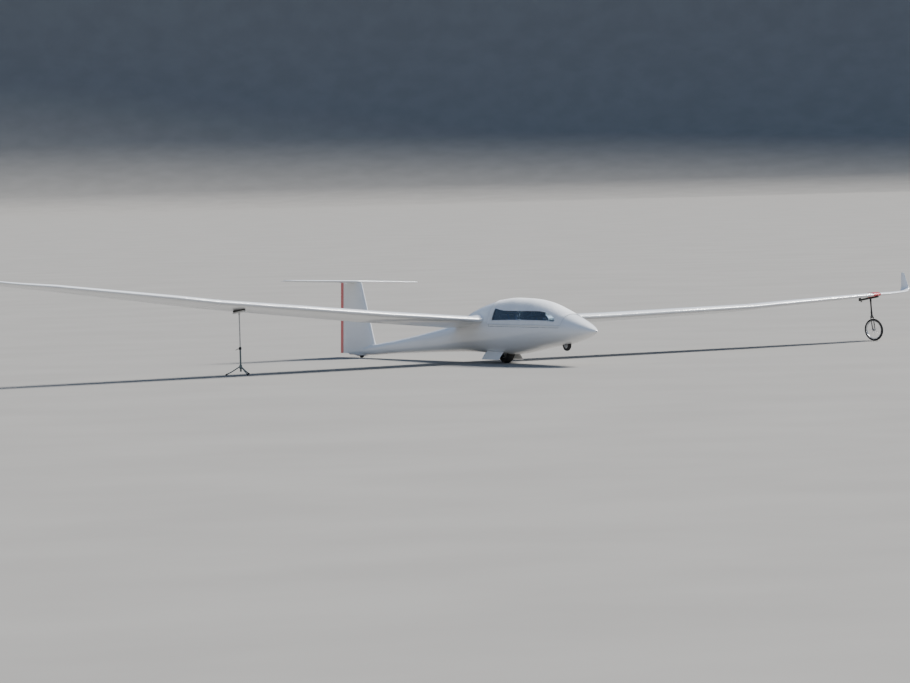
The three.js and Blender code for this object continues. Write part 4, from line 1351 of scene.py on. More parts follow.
@dataclass(frozen=True)
class Hinge:
    """A control surface's hinge at one station: its share of the chord and its nose's radius."""

    share: float
    radius: float

    @property
    def cove(self) -> float:
        """Radius of the hollow that the nose turns in."""
        return self.radius + CLEAR + 0.001

    def fixed_end(self, chord: Chord) -> float:
        """The share of the chord at which the fixed skin ends."""
        return self.share - chord.share(math.sqrt(self.cove ** 2 - self.radius ** 2))

    def arc(self, chord: Chord, radius: float, low: float, high: float, count: int) -> Ring:
        """An arc round the hinge, on its front side.

        Args:
            chord: the station.
            radius: the arc's radius.
            low: the angle over the chord line at which it starts.
            high: the angle at which it ends.
            count: how many steps it has.

        Returns:
            The arc's points.
        """
        middle = chord.at(self.share, 0)
        return [
            middle - chord.aft * (radius * math.cos(turn)) + chord.up * (radius * math.sin(turn))
            for turn in spread(low, high, count)
        ]

    def fixed_ring(self, chord: Chord, whole: bool = False) -> Ring:
        """The fixed surface's outline, hollowed for the nose or whole."""
        end = self.fixed_end(chord)
        front = front_path(chord, end)
        if whole:
            return front + tail_path(chord, end)
        slope = math.asin(self.radius / self.cove)
        return front + self.arc(chord, self.cove, -slope, slope, 2 * TAIL_STEPS + 1)[1:-1]

    def moving_ring(self, chord: Chord, end: float = 1.0) -> Ring:
        """The moving surface's outline, round at its nose."""
        nose = self.arc(chord, self.radius, math.pi / 2, -math.pi / 2, 14)
        return nose + tail_path(chord, self.share, end)

    def tape_ring(self, chord: Chord, side: float, width: float = 0.034, thick: float = 0.0005) -> Ring:
        """The outline of the seal tape over the gap.

        Args:
            chord: the station.
            side: 1 for the upper side, -1 for the lower.
            width: the tape's width.
            thick: its thickness.

        Returns:
            The outline's points.
        """
        rear = self.share - chord.share(0.22 * self.radius)
        front = rear - chord.share(width)
        shares = spread(front, rear, 6)
        over = [chord.at(u, side, thick) for u in shares]
        under = [chord.at(u, side, 0.0001) for u in reversed(shares)]
        return over + under


@dataclass
class Wing:
    """One wing: inner panel with its airbrake, outer panel with its aileron, and winglet."""

    shop: Workshop
    side: Side
    aileron_span: tuple[float, float] = (5.860, 8.640)
    aileron_y: tuple[float, float] = (3.850, 3.879)
    brake_span: tuple[float, float] = (2.650, 3.950)
    brake_y: float = 3.640
    brake_slope: float = 4.2
    brake_cap: float = 0.026
    brake_blade: float = 0.010
    brake_depth: float = 0.082
    brake_room: float = 0.006
    spacing: float = 0.12
    tape_half: float = 0.019

    def spans(self, start: float, end: float) -> list[float]:
        """Stations from start to end, with each row of the table among them."""
        stops = [start] + [row.x for row in WING_ROWS if start < row.x < end] + [end]
        made = [start]
        for low, high in zip(stops, stops[1:]):
            made += spread(low, high, max(1, round((high - low) / self.spacing)))[1:]
        return made

    def hinge(self, x: float) -> Hinge:
        """The aileron's hinge at a span."""
        inner, outer = self.aileron_span
        y = blend(*self.aileron_y, (x - inner) / (outer - inner))
        chord = wing_chord(self.side, x)
        share = (y - chord.lead.y) / (chord.aft.y * chord.length)
        return Hinge(share, chord.half(share) - 0.0005)

    def brake_axes(self) -> tuple[Vector, Vector, Vector, Vector, float]:
        """The airbrake's middle, its spanwise, aft and upward directions, and its length."""
        ends = []
        for x in self.brake_span:
            chord = wing_chord(self.side, x)
            share = (self.brake_y - chord.lead.y) / (chord.aft.y * chord.length)
            ends.append(chord.at(share, 1))
        spanwise = (ends[1] - ends[0]).normalized()
        angle = straight(WING_ROWS, "x", "angle", sum(self.brake_span) / 2)
        slope = math.radians(angle + self.brake_slope)
        aft = Vector((0.0, math.cos(slope), -math.sin(slope)))
        aft = (aft - spanwise * aft.dot(spanwise)).normalized()
        up = (spanwise.cross(aft) * self.side.value).normalized()
        return (ends[0] + ends[1]) / 2, spanwise, aft, up, (ends[1] - ends[0]).length

    def inner_panel(self) -> None:
        """The inner panel, with the airbrake's well sunk into its upper side."""
        bm = lofted([full_ring(wing_chord(self.side, x)) for x in self.spans(WING_ROOT, WING_JOINT)])
        middle, spanwise, aft, up, length = self.brake_axes()
        reach = (length / 2 + self.brake_room, self.brake_cap / 2 + self.brake_room)

        def inside(place: Vector, along: float, across: float) -> bool:
            """Whether a place of the upper side lies in the well, grown by a slack along and across it."""
            away = place - middle
            return (
                abs(away.dot(spanwise)) < reach[0] + along
                and abs(away.dot(aft)) < reach[1] + across
                and away.dot(up) > -0.03
            )

        for way, half in ((spanwise, reach[0]), (aft, reach[1])):
            for sign in (-1, 1):
                score(bm, middle + way * (sign * half), way, lambda place: inside(place, 0.2, 0.12))
        cut_away(bm, lambda place: inside(place, JUST_IN, JUST_IN))
        made = wall_from_rim(bm, lambda place: inside(place, JUST_OUT, JUST_OUT))
        depth = self.brake_depth + self.brake_room
        for vert in of_kind(made, bmesh.types.BMVert):
            away = vert.co - middle
            vert.co -= up * (away.dot(up) + depth)
        floor = [edge for edge in of_kind(made, bmesh.types.BMEdge) if edge.is_boundary]
        bmesh.ops.edgeloop_fill(bm, edges=floor)
        name = f"wing_inner_{self.side.label}"
        self.shop.piece(f"{name}_panel", bm, Finish.GELCOAT, replaces=(name,), sharp=40.0)

    def airbrake(self) -> None:
        """The airbrake's blade, with its sprung cap flush in the wing."""
        middle, spanwise, aft, up, length = self.brake_axes()
        place = frame_at(middle, spanwise, aft, up)
        bm = bmesh.new()
        half = length / 2
        cap, blade = self.brake_cap / 2, self.brake_blade / 2
        block(bm, (-half, -cap, -0.0032), (half, cap, -0.0006), 0.0006, place)
        block(bm, (-half, -cap * 0.9, -0.0050), (half, cap * 0.9, -0.0034), 0.0003, place)
        block(bm, (-half + 0.005, -blade * 0.4, -0.074), (half - 0.005, blade * 0.4, -0.0052), 0.0005, place)
        for high, low in ((-0.0052, -0.016), (-0.066, -0.082)):
            for offset in (blade * 0.75, -blade * 0.75):
                block(bm, (-half + 0.005, offset - 0.0009, low), (half - 0.005, offset + 0.0009, high), 0.0004, place)
        block(bm, (-half + 0.005, -blade, -0.082), (half - 0.005, blade, -0.078), 0.0006, place)
        for step in range(12):
            at = blend(-half + 0.05, half - 0.05, step / 11)
            block(bm, (at - 0.006, -blade * 0.7, -0.070), (at + 0.006, blade * 0.7, -0.012), 0.0006, place)
        name = f"airbrake_{self.side.label}"
        self.shop.piece(f"{name}_blade", bm, Finish.GELCOAT, name, (name,))

    def outer_panel(self) -> None:
        """The outer panel, hollowed behind for the aileron, with tapes over the gap."""
        inner, outer = self.aileron_span
        rings = [
            self.hinge(inner).fixed_ring(wing_chord(self.side, x), True)
            for x in self.spans(WING_JOINT + GAP, inner)
        ]
        rings += [self.hinge(x).fixed_ring(wing_chord(self.side, x)) for x in self.spans(inner, outer)]
        rings += [
            self.hinge(outer).fixed_ring(wing_chord(self.side, x), True) for x in self.spans(outer, WING_TIP)
        ]
        name = f"wing_outer_{self.side.label}"
        self.shop.piece(f"{name}_panel", lofted(rings), Finish.GELCOAT, replaces=(name,), sharp=40.0)

    def aileron(self) -> None:
        """The aileron."""
        inner, outer = self.aileron_span
        stations = self.spans(inner + CLEAR, outer - CLEAR)
        bm = lofted([self.hinge(x).moving_ring(wing_chord(self.side, x)) for x in stations])
        name = f"aileron_{self.side.label}"
        self.shop.piece(f"{name}_surface", bm, Finish.GELCOAT, name, (name,), sharp=40.0)

    def tapes(self) -> None:
        """The tapes over the aileron's gap and round the joint of the panels."""
        bm = bmesh.new()
        inner, outer = self.aileron_span
        for face in (1, -1):
            rings = [
                self.hinge(x).tape_ring(wing_chord(self.side, x), face)
                for x in self.spans(inner + 0.004, outer - 0.004)
            ]
            add_mesh(bm, lofted(rings))
        belt = []
        for x, off in ((-1, 0.0002), (-1, 0.0006), (0, 0.0006), (1, 0.0006), (1, 0.0002)):
            belt.append(front_path(wing_chord(self.side, WING_JOINT + x * self.tape_half), 1.0, off))
        own = bmesh.new()
        skin(own, belt + belt[:1])
        add_mesh(bm, own)
        self.shop.piece(f"wing_tape_{self.side.label}", bm, Finish.TAPE, sharp=60.0)

    def winglet(self) -> None:
        """The winglet, curving up from the tip."""
        rings = []
        last = WINGLET_ROWS[-1].at
        stops = spread(0.0, 0.34, 22) + spread(0.34, last, 12)[1:] + [last + 0.004, last + 0.006]
        for at in stops:
            x, le, chord, z, lean, thickness = (
                curved(WINGLET_ROWS, "at", name, at) for name in ("x", "le", "chord", "z", "lean", "thickness")
            )
            beyond = max(at - last, 0.0)
            if beyond:
                le, chord, z = le + 5.5 * beyond, chord - 7.0 * beyond, z + beyond
                thickness *= 0.75 if beyond < 0.005 else 0.4
            lie, stand = math.cos(math.radians(lean)), math.sin(math.radians(lean))
            pitch = math.radians(WING_ROWS[-1].angle * lie)
            start = GAP if at == 0.0 else 0.0
            rings.append(full_ring(Chord(
                lead=Vector((self.side.value * (x + start), le, z)),
                aft=Vector((0.0, math.cos(pitch), -math.sin(pitch))),
                up=Vector((-self.side.value * stand, lie * math.sin(pitch), lie * math.cos(pitch))),
                length=chord,
                thickness=thickness,
                camber=WING_CAMBER,
            )))
        name = f"winglet_{self.side.label}"
        self.shop.piece(f"{name}_blade", lofted(rings), Finish.GELCOAT, replaces=(name,), sharp=40.0)

    def build(self) -> None:
        """Builds the wing."""
        self.inner_panel()
        self.airbrake()
        self.outer_panel()
        self.aileron()
        self.tapes()
        self.winglet()


@dataclass
class Tail:
    """The fin and rudder with its red trailing edge, and the tailplane and elevator."""

    shop: Workshop
    fin_tail: float = 0.004
    rudder_span: tuple[float, float] = (0.068, 1.414)
    rudder_y: tuple[float, float] = (8.318, 8.394)
    stripe: float = 0.128
    fin_foot: float = 0.100
    fin_top: float = 1.426
    elevator_roof: float = 1.400
    elevator_y: float = 8.342
    elevator_half: float = 1.392
    notch: tuple[float, float, float, float] = (0.034, 8.362, 0.092, 8.500)  # in the elevator, for the rudder
    plane_angle: float = 3.6
    plane_ratio: float = 0.105
    plane_tail: float = 0.003
    tape_width: float = 0.024

    def fin_chord(self, z: float) -> Chord:
        """The fin's station at a height."""
        le, te, ratio = (straight(FIN_ROWS, "z", name, z) for name in ("le", "te", "ratio"))
        return Chord(Vector((0.0, le, z)), Y_AXIS.copy(), X_AXIS.copy(), te - le, ratio, tail=self.fin_tail)

    def rudder_hinge(self, z: float) -> Hinge:
        """The rudder's hinge at a height."""
        low, high = self.rudder_span
        y = blend(*self.rudder_y, (z - low) / (high - low))
        chord = self.fin_chord(z)
        share = (y - chord.lead.y) / chord.length
        return Hinge(share, chord.half(share) - 0.0005)

    def fin(self) -> None:
        """The fin, from the boom's back to the tailplane."""
        rings = []
        for index, z in enumerate(spread(0.20, self.fin_top, 40)):
            ring = self.rudder_hinge(z).fixed_ring(self.fin_chord(z))
            for place in ring:
                seat = self.fin_foot if place.y > BOOM_END - 0.05 else height_on(place.y, place.x) - 0.004
                if index == 0:
                    place.z = seat
                place.z = max(place.z, seat)
                if place.y > self.elevator_y - 0.03:
                    place.z = min(place.z, self.elevator_roof)
            rings.append(ring)
        self.shop.piece("fin_structure", lofted(rings), Finish.GELCOAT, replaces=("fin",), sharp=40.0)

    def stripe_front(self, z: float) -> float:
        """Where the red trailing edge begins, at a height."""
        low, high = FIN_ROWS[0], FIN_ROWS[-1]
        return FIN_ROWS[2].te - self.stripe + (z - FIN_ROWS[2].z) * (high.te - low.te) / (high.z - low.z)

    def rudder(self) -> None:
        """The rudder and its red trailing edge."""
        white, red = [], []
        low, high = self.rudder_span
        for z in spread(low + CLEAR, high - CLEAR, 24):
            chord = self.fin_chord(z)
            hinge = self.rudder_hinge(z)
            front = (self.stripe_front(z) - chord.lead.y) / chord.length
            end = front - chord.share(GAP)
            white.append(hinge.moving_ring(chord, end))
            red.append([chord.at(front, -1), *tail_path(chord, front), chord.at(front, 1)])
        self.shop.piece("rudder_surface", lofted(white), Finish.GELCOAT, "rudder", ("rudder",), sharp=40.0)
        self.shop.piece(
            "rudder_red_edge", lofted(red), Finish.RED, "rudder", ("rudder_red_trailing_edge",), sharp=40.0,
        )

    def plane_chord(self, x: float) -> Chord:
        """The tailplane's station at a span, rounded off at its tips."""
        span = abs(x)
        le, chord, z = (straight(TAILPLANE_ROWS, "x", name, span) for name in ("le", "chord", "z"))
        angle = math.radians(self.plane_angle)
        tip = max(span - 1.45, 0.0) / 0.014
        return Chord(
            lead=Vector((x, le, z)),
            aft=Vector((0.0, math.cos(angle), -math.sin(angle))),
            up=Vector((0.0, math.sin(angle), math.cos(angle))),
            length=chord,
            thickness=self.plane_ratio * math.sqrt(max(1 - tip * tip, 0.04)),
            tail=self.plane_tail,
        )

    def plane_hinge(self, x: float) -> Hinge:
        """The elevator's hinge at a span."""
        chord = self.plane_chord(x)
        share = (self.elevator_y - chord.lead.y) / (chord.aft.y * chord.length)
        return Hinge(share, chord.half(share) - 0.0004)

    @property
    def notch_edge(self) -> float:
        """Where the notch meets the elevator's trailing edge, from the middle."""
        x0, y0, x1, y1 = self.notch
        chord = self.plane_chord(x0)
        rear = chord.lead.y + chord.aft.y * chord.length
        return x0 + (rear - y0) * (x1 - x0) / (y1 - y0)

    def notch_end(self, x: float) -> float:
        """The share of the chord at which the elevator ends, for the notch in its middle."""
        x0, y0, x1, y1 = self.notch
        chord = self.plane_chord(x)
        rear = y0 + max(abs(x) - x0, 0.0) * (y1 - y0) / (x1 - x0)
        return min((rear - chord.lead.y) / (chord.aft.y * chord.length), 1.0)

    def tailplane(self) -> None:
        """The tailplane and the elevator, with tapes over their gap."""
        half, tip = self.elevator_half, TAILPLANE_ROWS[-1].x
        outside = spread(half, 1.45, 3) + spread(1.45, tip, 6)[1:]
        inside = spread(-half, -0.9, 6) + spread(-0.9, 0.9, 20)[1:] + spread(0.9, half, 6)[1:]
        end = self.plane_hinge(half)
        rings = [end.fixed_ring(self.plane_chord(-x), True) for x in reversed(outside)]
        rings += [self.plane_hinge(x).fixed_ring(self.plane_chord(x)) for x in inside]
        rings += [end.fixed_ring(self.plane_chord(x), True) for x in outside]
        self.shop.piece("tailplane_surface", lofted(rings), Finish.GELCOAT, replaces=("tailplane",), sharp=40.0)
        edge = self.notch_edge
        moving = [x * (1 - CLEAR / half) for x in inside if abs(x) > edge]
        moving = sorted(moving + [sign * x for sign in (-1, 1) for x in spread(self.notch[0], edge, 4)])
        self.shop.piece(
            "elevator_surface",
            lofted([self.plane_hinge(x).moving_ring(self.plane_chord(x), self.notch_end(x)) for x in moving]),
            Finish.GELCOAT, "elevator", ("elevator",), sharp=40.0,
        )
        bm = bmesh.new()
        runs = [(1, inside)] + [(-1, [sign * x for x in spread(0.05, half, 12)]) for sign in (-1, 1)]
        for face, stations in runs:
            add_mesh(bm, lofted([
                self.plane_hinge(x).tape_ring(self.plane_chord(x), face, self.tape_width) for x in stations
            ]))
        self.shop.piece("tailplane_tape", bm, Finish.TAPE, sharp=60.0)

    def build(self) -> None:
        """Builds the tail."""
        self.fin()
        self.rudder()
        self.tailplane()


# Wheels and undercarriage


def hexed(bm: bmesh.types.BMesh, start: Vector, end: Vector, radius: float) -> None:
    """Adds a hexagon nut or bolt head between two points."""
    rod(bm, start, end, radius, sides=6, edge=radius * 0.12)


@dataclass
class Wheel:
    """A wheel under the fuselage: a grooved tyre, a dished rim with its bolts, and the axle with its nuts."""

    shop: Workshop
    name: str
    radius: float
    width: float
    rim: float
    axle: float
    axle_half: float
    grooves: tuple[float, ...] = ()
    bolts: int = 6

    @property
    def bead(self) -> float:
        """Radius at which the tyre sits on the rim."""
        return self.rim + 0.35 * (self.radius - self.rim) / 2

    def tyre(self) -> None:
        """The tyre."""
        half, bead = self.width / 2, self.bead
        widest = bead + 0.42 * (self.radius - bead)
        profile = []
        for turn in spread(-HALF_TURN / 2, HALF_TURN / 2, 48):
            offset = half * math.copysign(abs(math.sin(turn)) ** 0.9, math.sin(turn))
            height = widest + (self.radius - widest) * max(math.cos(turn), 0.0) ** 0.72
            if any(abs(offset - groove) < 0.0026 for groove in self.grooves):
                height -= 0.0035
            profile.append((offset, height))
        wall = [(0.98, 0.75), (0.93, 0.4), (0.84, 0.14), (0.76, 0.0)]
        profile += [(half * across, blend(bead, widest, up)) for across, up in wall]
        profile += [(-half * across, blend(bead, widest, up)) for across, up in reversed(wall)]
        bm = bmesh.new()
        spun(bm, profile, 120)
        for sign in (-1, 1):
            for up in (0.45, 0.62):
                ring = bmesh.new()
                height = blend(bead, self.radius, up)
                edge = half * (0.985 if up < 0.5 else 0.955)
                spun(ring, [
                    (sign * (edge - 0.003), height - 0.0012), (sign * (edge + 0.0006), height - 0.0007),
                    (sign * (edge + 0.0006), height + 0.0007), (sign * (edge - 0.003), height + 0.0012),
                ], 96)
                add_mesh(bm, ring)
        joint, tyre = f"{self.name}_spin", f"{self.name}_tyre"
        self.shop.piece(f"{tyre}_tread", bm, Finish.RUBBER, self.name, (tyre,), self.shop.wheel_frame(joint), 38.0)

    def rim_disc(self) -> None:
        """The rim, with its hub, bolts and valve."""
        seat, bead = self.width / 2 * 0.72, self.bead - GAP
        dish, hub = 0.42 * seat, self.axle + 0.017
        side = [
            (seat, bead), (seat, bead - 0.007), (seat - 0.004, bead - 0.009), (dish + 0.008, bead - 0.014),
            (dish, blend(hub, bead, 0.72)), (dish * 0.8, blend(hub, bead, 0.3)), (dish, hub + 0.004),
            (seat * 0.86, hub), (seat * 0.9, hub - 0.002), (seat * 0.9, self.axle + 0.0006),
        ]
        bm = bmesh.new()
        spun(bm, side + [(-offset, radius) for offset, radius in reversed(side)], 96)
        place = blend(hub, bead, 0.52)
        for turn in full_circle(self.bolts):
            out = Vector((0.0, math.cos(turn), math.sin(turn))) * place
            for sign in (-1, 1):
                foot = Vector((sign * dish * 0.86, 0.0, 0.0)) + out
                hexed(bm, foot, foot + Vector((sign * 0.007, 0.0, 0.0)), 0.0055)
        stem = Vector((dish, 0.0, 0.0)) + Vector((0.0, 0.5, 0.866)) * blend(hub, bead, 0.86)
        rod(bm, stem - X_AXIS * 0.004, stem + X_AXIS * 0.016, 0.003, sides=16, edge=0.0006)
        joint, rim = f"{self.name}_spin", f"{self.name}_rim"
        self.shop.piece(f"{rim}_disc", bm, Finish.ALLOY, self.name, (rim,), self.shop.wheel_frame(joint))

    def spindle(self) -> None:
        """The axle, with a nut at each end."""
        bm = bmesh.new()
        end = Vector((self.axle_half, 0.0, 0.0))
        rod(bm, -end, end, self.axle - 0.0002, sides=32, edge=0.001)
        if self.axle_half > 0.08:
            for sign in (-1, 1):
                hexed(bm, end * sign * 0.94, end * sign * 1.07, self.axle * 1.6)
        axle = f"{self.name}_axle"
        self.shop.piece(
            f"{axle}_spindle", bm, Finish.STEEL, replaces=(axle,), frame=self.shop.wheel_frame(f"{self.name}_spin"),
        )

    def build(self) -> None:
        """Builds the wheel."""
        self.tyre()
        self.rim_disc()
        self.spindle()


@dataclass
class Undercarriage:
    """What carries the wheels: the main fork, its two open doors, and the tail wheel's fairing."""

    shop: Workshop
    axle_y: float = 2.860
    fork_inner: float = 0.090
    fork_outer: float = 0.102
    crown: float = 0.412
    crown_half: float = 0.070
    bay_top: float = 0.436
    fork_outline: tuple[tuple[float, float], ...] = (
        (-0.030, 0.158), (0.030, 0.158), (0.052, 0.300), (0.066, 0.412), (0.066, 0.4355), (-0.066, 0.4355),
        (-0.066, 0.412), (-0.052, 0.300),
    )
    door_span: tuple[float, float] = (2.705, 3.270)
    door_head: tuple[float, float] = (0.142, 0.215)
    door_foot: tuple[float, float] = (0.265, 0.057)
    door_thick: float = 0.008
    fairing_half: float = 0.054
    fairing_length: float = 0.330
    fairing_depth: float = 0.066
    fairing_middle: tuple[float, float] = (7.870, 0.092)
    fairing_roof: float = 0.100
    fairing_slot: tuple[float, float, float] = (0.0324, 7.7376, 7.9624)

    def fork(self) -> None:
        """The main wheel's fork, with lightening ribs and bolts."""
        bm = bmesh.new()
        for sign in (-1, 1):
            low, high = sorted((sign * self.fork_inner, sign * self.fork_outer))
            plate(bm, [(self.axle_y + dy, z) for dy, z in self.fork_outline], low, high, 0.0015)
            for dy in (-0.036, 0.036):
                foot = dy * 0.62
                rib = [(foot - 0.004, 0.215), (foot + 0.004, 0.215), (dy + 0.004, 0.400), (dy - 0.004, 0.400)]
                face = sorted((sign * self.fork_outer, sign * (self.fork_outer + 0.006)))
                plate(bm, [(self.axle_y + y, z) for y, z in rib], face[0], face[1], 0.0012)
            for dy in (-0.040, 0.0, 0.040):
                foot = Vector((sign * self.fork_outer, self.axle_y + dy, 0.424))
                hexed(bm, foot, foot + X_AXIS * (sign * 0.006), 0.007)
        block(
            bm, (-self.fork_inner, self.axle_y - self.crown_half, self.crown),
            (self.fork_inner, self.axle_y + self.crown_half, self.bay_top - GAP), 0.002,
        )
        self.shop.piece("main_fork", bm, Finish.STEEL, replaces=("main_gear_fork",))

    def door(self, side: Side) -> None:
        """One open door, a little bowed like the belly it closes, on three hinge straps.

        Args:
            side: the side of the aircraft that it hangs on.
        """
        front, rear = self.door_span
        rings = []
        across = Vector((self.door_foot[0] - self.door_head[0], 0.0, self.door_foot[1] - self.door_head[1]))
        outward = Vector((-across.z, 0.0, across.x)).normalized()
        for y in (front, front + 0.004, *spread(front + 0.02, rear - 0.02, 12), rear - 0.004, rear):
            slim = 0.35 if y in (front, rear) else 1.0
            over, under = [], []
            for share in spread(0.0, 1.0, 10):
                bow = 0.010 * math.sin(HALF_TURN * share)
                edge = 0.45 if share in (0.0, 1.0) else 1.0
                middle = Vector((self.door_head[0], y, self.door_head[1])) + across * share + outward * bow
                half = outward * (self.door_thick / 2 * edge * slim)
                over.append(middle + half)
                under.append(middle - half)
            ring = over + under[::-1]
            rings.append([Vector((side.value * place.x, place.y, place.z)) for place in ring])
        bm = lofted(rings)
        for y in (front + 0.09, (front + rear) / 2, rear - 0.09):
            head = Vector((side.value * (self.door_head[0] - 0.012), y, self.door_head[1] + 0.004))
            low = Vector((side.value * (self.door_head[0] + 0.045), y, self.door_head[1] - 0.060))
            strap = bmesh.new()
            pipe(strap, [head, low], 0.014, 12, 0.16, X_AXIS * side.value + Z_AXIS * 0.8)
            add_mesh(bm, strap)
        name = f"gear_door_{side.label}"
        self.shop.piece(f"{name}_panel", bm, Finish.GELCOAT, replaces=(name,))

    def fairing(self) -> None:
        """The bulge round the tail wheel, open below for it."""
        middle_y, middle_z = self.fairing_middle
        half, front, rear = self.fairing_slot
        rings = []
        for share in spread(-HALF_TURN / 2, HALF_TURN / 2, 36):
            size, along = max(math.cos(share), 0.02), math.sin(share)
            ring = []
            for turn in spread(HALF_TURN, FULL_TURN, 24):
                z = middle_z + self.fairing_depth * size * math.sin(turn)
                ring.append(Vector((
                    self.fairing_half * size * math.cos(turn), middle_y + self.fairing_length * along,
                    self.fairing_roof if turn in (HALF_TURN, FULL_TURN) else min(z, self.fairing_roof),
                )))
            rings.append(ring)
        bm = bmesh.new()
        skin(bm, rings, closed=False)

        def inside(place: Vector, slack: float = 0.0) -> bool:
            """Whether a place lies in the slot, grown by a slack."""
            return abs(place.x) < half + slack and front - slack < place.y < rear + slack

        for x in (-half, half):
            score(bm, Vector((x, 0.0, 0.0)), X_AXIS)
        for y in (front, rear):
            score(bm, Vector((0.0, y, 0.0)), Y_AXIS)
        cut_away(bm, inside)
        made = wall_from_rim(bm, lambda place: inside(place, JUST_OUT))
        for vert in of_kind(made, bmesh.types.BMVert):
            vert.co.z = self.fairing_roof
        bmesh.ops.bridge_loops(bm, edges=[edge for edge in bm.edges if edge.is_boundary])
        self.shop.piece("tail_wheel_bulge", bm, Finish.GELCOAT, replaces=("tail_wheel_fairing",))

    def build(self) -> None:
        """Builds the undercarriage with its wheels."""
        Wheel(
            self.shop, "main_wheel", radius=0.190, width=0.150, rim=0.078, axle=0.012, axle_half=0.110,
            grooves=(-0.034, -0.012, 0.012, 0.034), bolts=8,
        ).build()
        Wheel(
            self.shop, "nose_wheel", radius=0.105, width=0.066, rim=0.048, axle=0.008, axle_half=0.0437,
            grooves=(-0.008, 0.008), bolts=5,
        ).build()
        Wheel(
            self.shop, "tail_wheel", radius=0.100, width=0.050, rim=0.042, axle=0.008, axle_half=0.0317,
            grooves=(0.0,), bolts=5,
        ).build()
        self.fork()
        for side in Side:
            self.door(side)
        self.fairing()


# Cockpit


